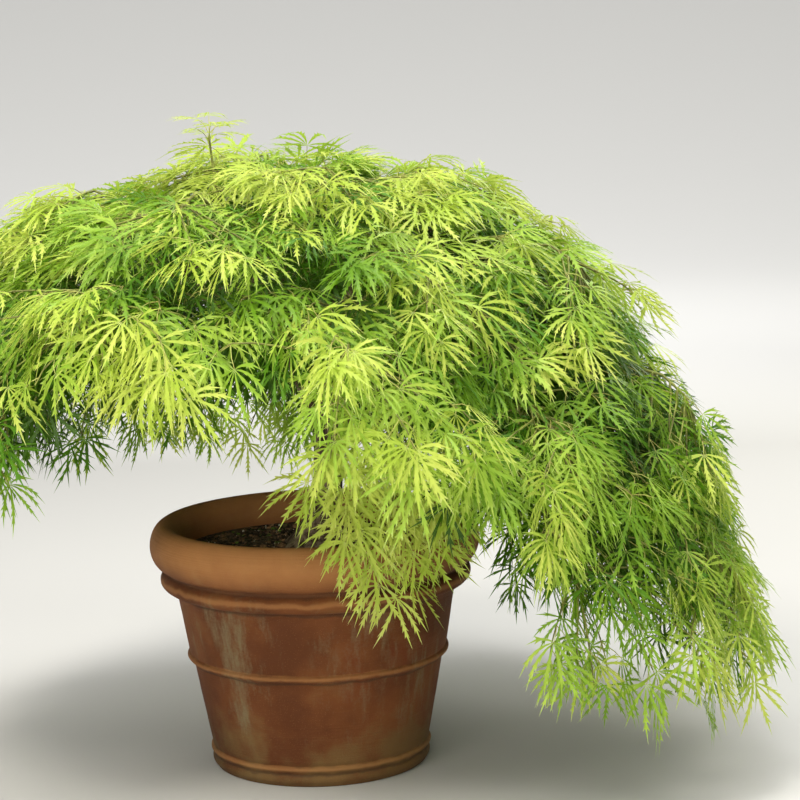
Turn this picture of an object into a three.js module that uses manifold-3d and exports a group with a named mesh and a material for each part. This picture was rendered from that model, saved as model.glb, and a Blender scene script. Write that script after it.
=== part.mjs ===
// A weeping laceleaf maple in a terracotta pot.
// Millimetres, +Z up. The origin is the centre of the pot's underside, +X is to the right
// and -Y is towards a viewer in front. A short trunk stands on the pot's soil and forks
// into boughs, each bough ends at the stem of one mass of foliage, and the masses cover a
// dome whose hem hangs lowest at the front right.
import * as THREE from "three";
import { mergeVertices } from "three/addons/utils/BufferGeometryUtils.js";
import Module from "manifold-3d";

const wasm = await Module();
wasm.setup();

const UP = new THREE.Vector3(0, 0, 1);
const GAP = 0.3; // clearance between touching solids
const LIMB_GAP = 0.4; // the same, from the corners of a faceted limb

// Pot and soil
const POT = {
  facets: 32,
  footRadius: 154,
  stepRadius: 191, // the bead where the upper body stands out over the lower one
  stepHeight: 165,
  shoulderRadius: 203,
  shoulderHeight: 262,
  collarRadius: 226, // the bead under the rim
  collarHeight: 278,
  rimRadius: 240,
  rimHeight: 328, // middle of the rolled rim
  rollHalfWidth: 21,
  rollHalfHeight: 32,
  mouthRadius: 201,
  innerFootRadius: 136,
  floor: 24,
};
const SOIL = { level: 320, collar: 70, edgeDrop: 5 };

const TRUNK = {
  radius: 25,
  tipRadius: 13,
  height: 262,
  lean: new THREE.Vector3(34, 6, 0), // how far the fork stands from over the foot
  sway: 9,
  flare: 19, // how far the root flare adds to the radius at the soil
  flareHeight: 60,
  roots: 5,
  facets: 10,
  steps: 8,
};

// Crown: a dome round an upright axis. Its reach and the height of its hem are given at
// every 30 degrees anticlockwise from the right.
const CROWN = {
  axis: new THREE.Vector3(40, 0, 0),
  top: 868,
  fullness: 2.15,
  leftFullness: 0.25,
  reach: [565, 560, 545, 545, 570, 600, 625, 600, 540, 480, 475, 545],
  hem: [230, 270, 335, 440, 470, 455, 465, 530, 660, 605, 305, 235],
  steps: 48,
};

// Tiers of masses, each starting at its distance down the dome from the top.
const TIERS = [
  { name: "crown", from: 55, count: 3, first: 25 },
  { name: "shoulder", from: 250, count: 7, first: -20 },
  { name: "skirt", from: 500, count: 10, first: 20 },
  { name: "hem", from: 735, count: 12, first: -50 },
];
const SHORTEST_MASS = 105;
const BORDER = 30; // how far a mass may lean over the middle between it and its neighbour

// Two sprays that leave the dome: a shoot above the top and a fall over the pot's rim.
const SPRIG = {
  name: "sprig",
  tier: 1,
  entry: new THREE.Vector3(-120, -20, 815),
  heading: new THREE.Vector3(-0.12, -0.05, 1),
  length: 190,
};
const CASCADE = {
  name: "cascade",
  tier: 2,
  entry: new THREE.Vector3(105, -290, 560),
  heading: new THREE.Vector3(0, -0.2, -1),
  length: 205,
};
const LOOSE_BORDER = 80;

const BOUGH = {
  inset: 52, // how far under the dome's surface a bough ends
  baseRadius: [9.5, 9.5, 7, 5.5], // for the boughs of each tier
  tipRadius: 3.6,
  rise: [0.2, 0.2, 0.12, 0.12], // how high a bough arches, as a share of its span
  onTrunk: [0.4, 0.68, 0.47, 0.75, 0.54, 0.82, 0.61], // where the shoulder boughs leave it
  straight: 12, // the last stretch, in line with the stem that it meets
  facets: 5,
  steps: 5,
};

const TWIG = {
  stemRadius: 4.2,
  stemTip: 2.6,
  sunkRadius: 1.1, // of a side twig's foot, sunk in its stem
  sideTip: 1.9,
  stalkFoot: 0.7, // of a leaf's stalk, sunk in its twig
  shortestStem: 40,
  spacing: 78, // between the pairs of side twigs on a stem
  sideLength: 165,
  looseLength: 85, // of the side twigs of a spray that leaves the dome
  spread: 52, // degrees between a side twig and the way down
  depth: 16, // how far under the dome's surface the twigs keep
  sag: 0.1,
  wander: 0.12,
};

const LEAF = {
  length: 132,
  stalk: 26,
  thickness: 3.6,
  lobes: [-104, -50, 0, 50, 104], // degrees from the way the leaf points
  lobeReach: [0.58, 0.9, 1, 0.9, 0.58],
  notchReach: 0.24,
  heelAngle: 148,
  heelReach: 0.09,
  droop: 0.42,
  gap: 0.6, // from limbs and from the leaves of other masses
  sizes: [1, 0.82, 0.66], // the ways of holding a leaf, the best first
  swings: [0, 0.35, -0.35, 0.7, -0.7, 1.05, -1.05],
  lifts: [0.05, 0.3, -0.15, 0.5, -0.35],
};

const part = new THREE.Group();

// Materials

const terracotta = () => new THREE.MeshStandardMaterial({ color: 0xa2603a, roughness: 0.88, metalness: 0 });
const soil = () => new THREE.MeshStandardMaterial({ color: 0x2f261d, roughness: 1, metalness: 0 });
const bark = () => new THREE.MeshStandardMaterial({ color: 0x6e5c49, roughness: 0.9, metalness: 0 });
const leaves = () => new THREE.MeshStandardMaterial({ color: 0xa3c83a, roughness: 0.55, metalness: 0 });

// Numbers and vectors

const radians = THREE.MathUtils.degToRad;
const lerp = THREE.MathUtils.lerp;
const vector = (x, y, z) => new THREE.Vector3(x, y, z);

// A repeatable stream of numbers from 0 to 1.
function randomFrom(seed) {
  let state = seed >>> 0;
  return () => {
    state = (state + 0x6d2b79f5) >>> 0;
    let mixed = state;
    mixed = Math.imul(mixed ^ (mixed >>> 15), mixed | 1);
    mixed ^= mixed + Math.imul(mixed ^ (mixed >>> 7), mixed | 61);
    return ((mixed ^ (mixed >>> 14)) >>> 0) / 4294967296;
  };
}

function lineAt(line, share) {
  const place = share * (line.length - 1);
  const i = Math.min(Math.floor(place), line.length - 2);
  return line[i].clone().lerp(line[i + 1], place - i);
}

function tapering(line, from, to) {
  return line.map((_, i) => lerp(from, to, i / (line.length - 1)));
}

// Solids

function geometryFrom(points, triangles) {
  const geometry = new THREE.BufferGeometry().setFromPoints(points);
  geometry.setIndex(triangles.flat());
  return geometry;
}

function solidFrom(geometry) {
  const bare = geometry.clone();
  bare.deleteAttribute("normal");
  bare.deleteAttribute("uv");
  const merged = mergeVertices(bare, 1e-4);
  return new wasm.Manifold(
    new wasm.Mesh({
      numProp: 3,
      vertProperties: merged.attributes.position.array,
      triVerts: new Uint32Array(merged.index.array),
    }),
  );
}

function geometryOf(solid) {
  const { vertProperties, triVerts } = solid.getMesh();
  const geometry = new THREE.BufferGeometry();
  geometry.setAttribute("position", new THREE.BufferAttribute(vertProperties, 3));
  geometry.setIndex(new THREE.BufferAttribute(triVerts, 1));
  const flat = geometry.toNonIndexed();
  flat.computeVertexNormals();
  return flat;
}

function addMesh(name, geometry, material) {
  const mesh = new THREE.Mesh(geometry, material);
  mesh.name = name;
  part.add(mesh);
}

// A closed skin over rings of equally many points. Its ends are flat fans round their
// middles, or one face each where a ring has three points.
function loft(rings) {
  const sides = rings[0].length;
  const points = rings.flat();
  const last = points.length - sides;
  const triangles = [];
  for (let side = 0; side < sides; side++) {
    const next = (side + 1) % sides;
    for (let low = 0; low < last; low += sides) {
      const high = low + sides;
      triangles.push([low + side, low + next, high + next], [low + side, high + next, high + side]);
    }
  }
  if (sides === 3) {
    triangles.push([2, 1, 0], [last, last + 1, last + 2]);
    return geometryFrom(points, triangles);
  }
  const [foot, head] = [points.length, points.length + 1];
  for (const ring of [rings[0], rings.at(-1)]) {
    points.push(ring.reduce((sum, p) => sum.add(p), vector(0, 0, 0)).divideScalar(sides));
  }
  for (let side = 0; side < sides; side++) {
    const next = (side + 1) % sides;
    triangles.push([foot, next, side], [head, last + side, last + next]);
  }
  return geometryFrom(points, triangles);
}

// Rings round a line of points, turned as little as possible from one to the next.
function ringsAlong(line, radii, sides) {
  const headings = line.map((p, i) => vector(0, 0, 0).subVectors(line[i + 1] ?? p, line[i - 1] ?? p).normalize());
  const start = Math.abs(headings[0].z) > 0.9 ? vector(1, 0, 0) : UP;
  const side = vector(0, 0, 0).crossVectors(start, headings[0]).normalize();
  return line.map((p, i) => {
    side.addScaledVector(headings[i], -side.dot(headings[i])).normalize();
    const other = vector(0, 0, 0).crossVectors(headings[i], side);
    return Array.from({ length: sides }, (_, k) => {
      const angle = (2 * Math.PI * k) / sides;
      const ring = p.clone().addScaledVector(side, radii[i] * Math.cos(angle));
      return ring.addScaledVector(other, radii[i] * Math.sin(angle));
    });
  });
}

// Pot and soil

const corner = (radius, height) => new THREE.Vector2(radius, height);

function arc(centre, width, height, from, to, steps) {
  return Array.from({ length: steps + 1 }, (_, i) => {
    const angle = radians(lerp(from, to, i / steps));
    return corner(centre.x + width * Math.cos(angle), centre.y + height * Math.sin(angle));
  });
}

function lathe(profile) {
  return new THREE.LatheGeometry(profile, POT.facets).rotateX(Math.PI / 2);
}

function potGeometry() {
  const roll = corner(POT.rimRadius - POT.rollHalfWidth, POT.rimHeight);
  return lathe([
    corner(0, 0),
    corner(POT.footRadius, 0),
    ...arc(corner(POT.footRadius, 11), 6, 8, -60, 60, 2),
    ...arc(corner(POT.footRadius + 3, 26), 5, 6, -60, 90, 2),
    corner(POT.stepRadius - 9, POT.stepHeight - 10),
    ...arc(corner(POT.stepRadius - 6, POT.stepHeight), 7, 7, -70, 60, 2),
    corner(POT.shoulderRadius, POT.shoulderHeight),
    ...arc(corner(POT.collarRadius - 14, POT.collarHeight), 14, 13, -80, 50, 3),
    ...arc(roll, POT.rollHalfWidth, POT.rollHalfHeight, -80, 150, 8),
    corner(POT.mouthRadius, POT.rimHeight - 6),
    corner(POT.innerFootRadius, POT.floor),
    corner(0, POT.floor),
  ]);
}

function innerRadius(height) {
  const share = (height - POT.floor) / (POT.rimHeight - 6 - POT.floor);
  return lerp(POT.innerFootRadius, POT.mouthRadius, share);
}

function soilGeometry() {
  const bottom = POT.floor + GAP;
  const edge = SOIL.level - SOIL.edgeDrop;
  return lathe([
    corner(0, bottom),
    corner(innerRadius(bottom) - 2 * GAP, bottom),
    corner(innerRadius(edge) - 2 * GAP, edge),
    corner(SOIL.collar, SOIL.level),
    corner(0, SOIL.level),
  ]);
}

// Crown: the dome that the foliage hangs on

function around(sizes, azimuth) {
  const turn = THREE.MathUtils.euclideanModulo(azimuth / (2 * Math.PI), 1) * sizes.length;
  const index = Math.floor(turn);
  const blend = THREE.MathUtils.smoothstep(turn - index, 0, 1);
  return lerp(sizes[index % sizes.length], sizes[(index + 1) % sizes.length], blend);
}

function crownShape(azimuth) {
  const hem = around(CROWN.hem, azimuth);
  return {
    reach: around(CROWN.reach, azimuth),
    hem,
    rise: CROWN.top - hem,
    power: CROWN.fullness - CROWN.leftFullness * Math.cos(azimuth),
  };
}

// The dome's line from the top to the hem, with the distance run at each point.
function meridian(azimuth) {
  const { reach, hem, rise, power } = crownShape(azimuth);
  const line = Array.from({ length: CROWN.steps + 1 }, (_, i) => {
    const swing = ((i / CROWN.steps) * Math.PI) / 2;
    const out = reach * Math.sin(swing) ** (2 / power);
    const height = hem + rise * Math.max(Math.cos(swing), 0) ** (2 / power);
    return vector(out * Math.cos(azimuth), out * Math.sin(azimuth), height).add(CROWN.axis);
  });
  const run = [0];
  line.slice(1).forEach((p, i) => run.push(run[i] + p.distanceTo(line[i])));
  return { line, run, length: run.at(-1) };
}

function downCrown(azimuth, distance) {
  const { line, run, length } = meridian(azimuth);
  const wanted = THREE.MathUtils.clamp(distance, 0, length);
  const i = Math.max(
    run.findIndex((r) => r >= wanted),
    1,
  );
  return line[i - 1].clone().lerp(line[i], (wanted - run[i - 1]) / (run[i] - run[i - 1]));
}

// How far a point lies under the dome's surface, and the way out of it.
function crownAt(point) {
  const flat = point.clone().sub(CROWN.axis);
  const azimuth = Math.atan2(flat.y, flat.x);
  const { reach, hem, rise, power } = crownShape(azimuth);
  const out = Math.max(Math.hypot(flat.x, flat.y), 1e-3);
  const up = Math.max(point.z - hem, 0);
  const level = ((out / reach) ** power + (up / rise) ** power) ** (1 / power);
  const away = vector(Math.cos(azimuth), Math.sin(azimuth), 0)
    .multiplyScalar(out ** (power - 1) / reach ** power)
    .addScaledVector(UP, up ** (power - 1) / rise ** power)
    .normalize();
  return { depth: Math.hypot(out, up) * (1 / level - 1), away };
}

function downhill(away) {
  const slope = UP.clone().negate().addScaledVector(away, away.z);
  return slope.lengthSq() > 1e-4 ? slope.normalize() : vector(1, 0, 0);
}

// Masses of foliage: where each hangs

function domeMass(name, tier, azimuth, upper, lower) {
  const entry = downCrown(azimuth, upper);
  const centre = downCrown(azimuth, (upper + lower) / 2);
  const { away } = crownAt(entry);
  return {
    name,
    tier,
    length: lower - upper,
    border: BORDER,
    sideLength: TWIG.sideLength,
    pull: 1,
    centre: centre.addScaledVector(crownAt(centre).away, -TWIG.depth),
    entry: entry.addScaledVector(away, -BOUGH.inset),
    heading: downhill(away).addScaledVector(away, 0.35).normalize(),
  };
}

function looseMass({ name, tier, entry, heading, length }) {
  const way = heading.clone().normalize();
  return {
    name,
    tier,
    length,
    border: LOOSE_BORDER,
    sideLength: TWIG.looseLength,
    pull: 0,
    centre: entry.clone().addScaledVector(way, length / 2),
    entry,
    heading: way,
  };
}

function domeMasses() {
  return TIERS.flatMap(({ name, from, count, first }, tier) => {
    const made = [];
    for (let i = 0; i < count; i++) {
      const azimuth = radians(first) + (2 * Math.PI * i) / count;
      const { length } = meridian(azimuth);
      if (length - from < SHORTEST_MASS) continue;
      const next = TIERS[tier + 1]?.from ?? length;
      const lower = length - next < SHORTEST_MASS ? length : next;
      made.push(domeMass(`${name}_${made.length + 1}`, tier, azimuth, from, lower));
    }
    return made;
  });
}

// Trunk and boughs

function trunkLine() {
  const foot = vector(0, 0, SOIL.level + GAP);
  return Array.from({ length: TRUNK.steps + 1 }, (_, i) => {
    const share = i / TRUNK.steps;
    const sway = vector(Math.sin(share * 5), Math.sin(share * 7), 0).multiplyScalar(TRUNK.sway);
    return foot.clone().addScaledVector(TRUNK.lean, share).addScaledVector(UP, TRUNK.height * share).add(sway);
  });
}

// The trunk's skin, its level rings drawn out into ridges where the roots run off.
function trunkSkin(line, extra = 0) {
  const rings = line.map((centre, i) => {
    const height = centre.z - line[0].z;
    const flare = TRUNK.flare * Math.max(1 - height / TRUNK.flareHeight, 0) ** 2;
    const radius = lerp(TRUNK.radius, TRUNK.tipRadius, i / TRUNK.steps) + extra;
    return Array.from({ length: TRUNK.facets }, (_, k) => {
      const angle = (2 * Math.PI * k) / TRUNK.facets;
      const out = radius + flare * (1 + 0.45 * Math.cos(TRUNK.roots * angle));
      return vector(Math.cos(angle), Math.sin(angle), 0).multiplyScalar(out).add(centre);
    });
  });
  return solidFrom(loft(rings));
}

function boughSkin(line, radii, extra = 0) {
  const wider = radii.map((radius) => radius + extra);
  return solidFrom(loft(ringsAlong(line, wider, BOUGH.facets)));
}

// A bough rises from its start, bends over and runs straight for its last stretch.
function boughLine(start, { tier, entry, heading }) {
  const end = entry.clone().addScaledVector(heading, -BOUGH.straight);
  const span = start.distanceTo(end);
  const curve = new THREE.CubicBezierCurve3(
    start,
    start.clone().lerp(end, 0.35).addScaledVector(UP, BOUGH.rise[tier] * span),
    end.clone().addScaledVector(heading, -0.3 * span),
    end,
  );
  return [...curve.getSpacedPoints(BOUGH.steps), entry];
}

// The place on an older limb that a mass's bough springs from.
function springFrom(mass, limbs) {
  const [trunk] = limbs;
  const peers = limbs.filter(({ tier }) => tier === mass.tier).length;
  if (mass.tier === 0) return lineAt(trunk.line, 0.98 - 0.1 * peers);
  if (mass.tier === 1 && mass.pull) return lineAt(trunk.line, BOUGH.onTrunk[peers]);
  const nearest = limbs
    .filter(({ tier }) => tier === mass.tier - 1)
    .reduce((a, b) => (a.line.at(-1).distanceTo(mass.entry) < b.line.at(-1).distanceTo(mass.entry) ? a : b));
  nearest.forks += 1;
  return lineAt(nearest.line, 0.8 - 0.17 * nearest.forks);
}

// The trunk and one bough for each mass, each cut clear of the limbs before it.
function growLimbs(masses) {
  const trunk = trunkLine();
  const limbs = [{ name: "trunk", tier: -1, line: trunk, solid: trunkSkin(trunk) }];
  let taken = trunkSkin(trunk, LIMB_GAP);
  for (const mass of masses) {
    const line = boughLine(springFrom(mass, limbs), mass);
    const radii = tapering(line, BOUGH.baseRadius[mass.tier], BOUGH.tipRadius);
    const pieces = boughSkin(line, radii).subtract(taken).decompose();
    const solid = pieces.reduce((a, b) => (a.volume() > b.volume() ? a : b));
    limbs.push({ name: `bough_${mass.name}`, tier: mass.tier, line, forks: 0, solid });
    taken = taken.add(boughSkin(line, radii, LIMB_GAP));
  }
  return limbs;
}

// Leaves and twigs

// A lobed blade: two shallow cones on a star outline that droops towards its tips.
function bladeAt(centre, forward, away, length) {
  const side = vector(0, 0, 0).crossVectors(away, forward).normalize();
  const at = (degrees, reach) => {
    const run = reach * length;
    const point = centre.clone().addScaledVector(forward, run * Math.cos(radians(degrees)));
    point.addScaledVector(side, run * Math.sin(radians(degrees)));
    return point.addScaledVector(UP, -LEAF.droop * reach * run);
  };
  const outline = LEAF.lobes.flatMap((angle, i) => {
    const tip = at(angle, LEAF.lobeReach[i]);
    const next = LEAF.lobes[i + 1];
    return next === undefined ? [tip] : [tip, at((angle + next) / 2, LEAF.notchReach)];
  });
  return {
    outline: [at(-LEAF.heelAngle, LEAF.heelReach), ...outline, at(LEAF.heelAngle, LEAF.heelReach)],
    top: centre.clone().addScaledVector(away, LEAF.thickness / 2),
    bottom: centre.clone().addScaledVector(away, -LEAF.thickness / 2),
    away,
  };
}

// Three corners round a twig, the first two on its upper side.
function cornersAt(point, heading, away, radius) {
  const side = vector(0, 0, 0).crossVectors(away, heading).normalize();
  const up = vector(0, 0, 0).crossVectors(heading, side);
  return [-150, -30, 90].map((degrees) => {
    const angle = radians(degrees);
    const around = point.clone().addScaledVector(side, radius * Math.cos(angle));
    return around.addScaledVector(up, -radius * Math.sin(angle));
  });
}

// One closed skin over a blade and the three-sided twig that opens into the blade's heel,
// and the blade alone, closed across its heel.
function shootOf(line, radii, { outline, top, bottom, away }) {
  const rings = line.map((point, i) => {
    const heading = (line[i + 1] ?? top).clone().sub(line[i - 1] ?? point).normalize();
    return cornersAt(point, heading, away, radii[i]);
  });
  const count = outline.length;
  const points = [...outline, top, bottom, ...rings.reverse().flat()];
  const [over, under] = [count, count + 1];
  const triangles = [[over, count - 1, 0]];
  for (let i = 0; i + 1 < count; i++) triangles.push([over, i, i + 1], [under, i + 1, i]);
  let near = [0, count - 1, under];
  const blade = solidFrom(geometryFrom(points.slice(0, count + 2), [...triangles, near]));
  rings.forEach((_, ring) => {
    const far = [2, 3, 4].map((k) => count + 3 * ring + k);
    for (let k = 0; k < 3; k++) {
      const next = (k + 1) % 3;
      triangles.push([near[k], near[next], far[next]], [near[k], far[next], far[k]]);
    }
    near = far;
  });
  return { blade, whole: solidFrom(geometryFrom(points, [...triangles, near])) };
}

// A twig grows in equal steps, keeps under the dome's surface and sags as it goes.
function growTwig(start, heading, length, steps, pull, random) {
  const line = [start];
  const way = heading.clone();
  for (let i = 0; i < steps; i++) {
    const { depth, away } = crownAt(line[i]);
    const wander = vector(random() - 0.5, random() - 0.5, random() - 0.5);
    way
      .addScaledVector(away, pull * THREE.MathUtils.clamp((depth - TWIG.depth) / 60, -0.7, 0.7))
      .addScaledVector(UP, -TWIG.sag)
      .addScaledVector(wander, TWIG.wander)
      .normalize();
    line.push(line[i].clone().addScaledVector(way, length / steps));
  }
  return { line, heading: way };
}

// Whether every point is nearer to this mass's centre than to any other's, give or take
// the narrow border that neighbours share.
function keepsToItself(points, mass, masses) {
  return masses.every((other) => {
    if (other === mass) return true;
    const across = other.centre.clone().sub(mass.centre);
    const limit = across.length() / 2 + mass.border;
    across.normalize();
    return points.every((p) => p.clone().sub(mass.centre).dot(across) < limit);
  });
}

const crosses = (one, other) => !one.intersect(other).isEmpty();

// Adds a leaf at the end of a twig, held the first way that keeps to the mass's space and
// touches nothing. It tells whether there was one.
function addLeaf({ line, heading }, radii, turn, growth) {
  const end = line.at(-1);
  const { away } = crownAt(end);
  for (const { size, swing, lift } of LEAF_HOLDS) {
    const forward = downhill(away).addScaledVector(heading, 0.7).normalize();
    forward.applyAxisAngle(away, turn + swing);
    forward.addScaledVector(away, lift - forward.dot(away)).normalize();
    const face = away.clone().addScaledVector(forward, -away.dot(forward)).normalize();
    const stalk = heading.clone().lerp(forward, 0.5).addScaledVector(away, lift + 0.2).normalize();
    const centre = end.clone().addScaledVector(stalk, LEAF.stalk);
    const leaf = bladeAt(centre, forward, face, LEAF.length * size);
    if (!keepsToItself([...leaf.outline, ...line.slice(1)], growth.mass, growth.masses)) continue;
    const { blade, whole } = shootOf(line, radii, leaf);
    const outer = growth.wholes.length ? whole : blade;
    if (growth.obstacles.some((other) => other.minGap(outer, 2 * LEAF.gap) < LEAF.gap)) continue;
    if (growth.wholes.some((other) => crosses(blade, other))) continue;
    if (growth.blades.some((other) => crosses(whole, other))) continue;
    growth.wholes.push(whole);
    growth.blades.push(blade);
    return true;
  }
  return false;
}

const LEAF_HOLDS = LEAF.sizes.flatMap((size) =>
  LEAF.swings.flatMap((swing) => LEAF.lifts.map((lift) => ({ size, swing, lift }))),
);

function growStem(mass, random) {
  const foot = mass.entry.clone().addScaledVector(mass.heading, GAP);
  const start = foot.clone().addScaledVector(mass.heading, BOUGH.straight);
  const length = Math.max(mass.length - LEAF.length * 0.8, TWIG.shortestStem);
  const pairs = Math.max(Math.round(length / TWIG.spacing), 1);
  const { line, heading } = growTwig(start, mass.heading, length, pairs + 1, mass.pull, random);
  return { line: [foot, ...line], heading, pairs };
}

// A side twig as long as its end leaf finds room for, with more leaves along it.
function addSideTwig(root, hand, growth, random) {
  const { away } = crownAt(root);
  const spread = TWIG.spread + 16 * (random() - 0.5);
  const way = downhill(away).applyAxisAngle(away, hand * radians(spread));
  const longest = growth.mass.sideLength * (0.9 + 0.2 * random());
  for (const share of [1, 0.8, 0.6, 0.4, 0.25]) {
    const side = growTwig(root, way, longest * share, 1, growth.mass.pull, random);
    if (!addLeaf(side, [TWIG.sunkRadius, TWIG.sideTip], 0, growth)) continue;
    const count = share > 0.7 ? 2 : 1;
    for (let i = count; i > 0; i--) {
      const bud = { line: [lineAt(side.line, i / (count + 1))], heading: side.heading };
      addLeaf(bud, [TWIG.stalkFoot], -hand * 0.5, growth);
    }
    return;
  }
}

// Whether more than two faces of a skin meet along one edge.
function isPinched(solid) {
  const { vertProperties, triVerts } = solid.getMesh();
  const place = (i) => Array.from(vertProperties.subarray(3 * i, 3 * i + 3), (v) => v.toFixed(3)).join();
  const seen = new Map();
  for (let i = 0; i < triVerts.length; i += 3) {
    const corners = [0, 1, 2].map((k) => place(triVerts[i + k]));
    corners.forEach((start, k) => {
      const edge = [start, corners[(k + 1) % 3]].sort().join(" ");
      seen.set(edge, (seen.get(edge) ?? 0) + 1);
    });
  }
  return [...seen.values()].some((count) => count > 2);
}

// All the shoots as one solid, less one shoot where the whole would be pinched.
function joinedClean(shoots) {
  const joined = wasm.Manifold.union(shoots);
  if (!isPinched(joined)) return joined;
  const fewer = shoots.map((dropped) => wasm.Manifold.union(shoots.filter((shoot) => shoot !== dropped)));
  return fewer.reverse().find((solid) => solid.decompose().length === 1 && !isPinched(solid));
}

// One mass: a stem with a leaf at its end, then pairs of side twigs and a leaf before each.
function growFoliage(mass, masses, obstacles, seed) {
  const random = randomFrom(seed);
  const growth = { mass, masses, obstacles, wholes: [], blades: [] };
  const stem = growStem(mass, random);
  const radii = tapering(stem.line, TWIG.stemRadius, TWIG.stemTip);
  if (!addLeaf(stem, radii, 0, growth)) growth.wholes.push(solidFrom(loft(ringsAlong(stem.line, radii, 3))));
  for (let pair = 0; pair < stem.pairs; pair++) {
    const root = lineAt(stem.line, (pair + 0.6) / stem.pairs);
    addSideTwig(root, -1, growth, random);
    addSideTwig(root, 1, growth, random);
    const bud = { line: [lineAt(stem.line, (pair + 0.15) / stem.pairs)], heading: stem.heading };
    addLeaf(bud, [TWIG.stalkFoot], 0, growth);
  }
  return joinedClean(growth.wholes);
}

function buildPart() {
  const masses = [...domeMasses(), looseMass(SPRIG), looseMass(CASCADE)];
  const limbs = growLimbs(masses);
  addMesh("pot", potGeometry(), terracotta());
  addMesh("soil", soilGeometry(), soil());
  limbs.forEach(({ name, solid }) => addMesh(name, geometryOf(solid), bark()));
  const obstacles = limbs.map(({ solid }) => solid);
  masses.forEach((mass, i) => {
    const solid = growFoliage(mass, masses, obstacles, 100 + i);
    obstacles.push(solid);
    addMesh(`foliage_${mass.name}`, geometryOf(solid), leaves());
  });
}

buildPart();

export default part;
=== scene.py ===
"""The looks of a weeping laceleaf maple in a terracotta pot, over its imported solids.

The plant grows here by the same rule as its solids: the same trunk, the same bough to each
mass of foliage and the same stem in it. From there the rule is carried on to more stems,
side twigs and stalked leaves at their real size. Growing is worked out in millimetres, and
every mesh is made in metres.
"""

import logging
import math
from collections.abc import Callable, Iterable, Sequence
from dataclasses import dataclass
from enum import Enum

import bmesh
import bpy
import numpy as np
from mathutils import Matrix, Quaternion, Vector, geometry, noise


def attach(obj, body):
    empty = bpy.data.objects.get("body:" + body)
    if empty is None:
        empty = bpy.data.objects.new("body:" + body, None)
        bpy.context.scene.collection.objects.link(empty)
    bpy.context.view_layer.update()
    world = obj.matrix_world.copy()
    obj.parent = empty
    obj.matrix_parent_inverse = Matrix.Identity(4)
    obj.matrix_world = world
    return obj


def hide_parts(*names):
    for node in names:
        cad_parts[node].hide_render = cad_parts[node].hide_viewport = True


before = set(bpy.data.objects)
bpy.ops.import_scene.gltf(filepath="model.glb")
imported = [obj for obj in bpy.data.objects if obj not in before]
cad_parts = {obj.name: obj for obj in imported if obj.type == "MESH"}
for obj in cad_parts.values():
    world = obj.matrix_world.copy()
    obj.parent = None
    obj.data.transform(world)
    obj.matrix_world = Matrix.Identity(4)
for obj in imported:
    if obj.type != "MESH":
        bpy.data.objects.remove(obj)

LOG = logging.getLogger("plant")
MM = 0.001
UP = Vector((0.0, 0.0, 1.0))
FRONT = Vector((0.0, -1.0, 0.0))
GAP = 0.3
RING_STEP = 9.0
MERGE = 1e-6
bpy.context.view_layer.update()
Colour = tuple[float, float, float, float]
Face = tuple[int, ...]
Point = tuple[float, float, float]
Pair = tuple[float, float]
Gauge = tuple[float, float, int]


def shade(code: str) -> Colour:
    """A colour for a shader from its six-digit screen code.

    Args:
        code: Red, green and blue as "#rrggbb".

    Returns:
        The linear colour with full alpha.
    """
    parts = [int(code[i : i + 2], 16) / 255 for i in (1, 3, 5)]
    linear = [p / 12.92 if p <= 0.04045 else ((p + 0.055) / 1.055) ** 2.4 for p in parts]
    return (*linear, 1.0)


def lerp(low: float, high: float, share: float) -> float:
    """The number that lies at a share of the way from low to high."""
    return low + (high - low) * share


def clamp(value: float, low: float, high: float) -> float:
    """The value, kept from low to high."""
    return max(low, min(high, value))


def smooth(value: float) -> float:
    """A share eased in and out."""
    value = clamp(value, 0.0, 1.0)
    return value * value * (3.0 - 2.0 * value)


def along(line: Sequence[Vector], share: float) -> Vector:
    """The point at a share of the way through a line's points.

    Args:
        line: Two points or more.
        share: From 0 at the first point to 1 at the last.

    Returns:
        The point between its two neighbours.
    """
    place = share * (len(line) - 1)
    low = min(int(place), len(line) - 2)
    return line[low].lerp(line[low + 1], place - low)


def length_of(line: Sequence[Vector]) -> float:
    """How long a line of points is."""
    return sum((after - before).length for before, after in zip(line, line[1:]))


def runs_of(line: Sequence[Vector]) -> list[float]:
    """The distance along a line at each of its points.

    Args:
        line: The points.

    Returns:
        One distance a point, from 0 at the first.
    """
    run = [0.0]
    for before, after in zip(line, line[1:]):
        run.append(run[-1] + (after - before).length)
    return run


def turned(way: Vector, axis: Vector, degrees: float) -> Vector:
    """The direction, turned about an axis."""
    return Quaternion(axis, math.radians(degrees)) @ way


class Stream:
    """A repeatable stream of numbers, the same as the solids are grown with."""

    MASK = 0xFFFFFFFF
    STRIDE = 0x6D2B79F5

    def __init__(self, seed: int) -> None:
        """Starts the stream from a whole number."""
        self.state = seed & self.MASK

    def next(self) -> float:
        """Takes the next number.

        Returns:
            A number from 0 up to 1.
        """
        self.state = (self.state + self.STRIDE) & self.MASK
        mixed = self.state
        mixed = ((mixed ^ mixed >> 15) * (mixed | 1)) & self.MASK
        mixed ^= (mixed + (((mixed ^ mixed >> 7) * (mixed | 61)) & self.MASK)) & self.MASK
        return (mixed ^ mixed >> 14) / (self.MASK + 1)

    def between(self, low: float, high: float) -> float:
        """The next number from low to high."""
        return lerp(low, high, self.next())


# Shader nodes


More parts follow.
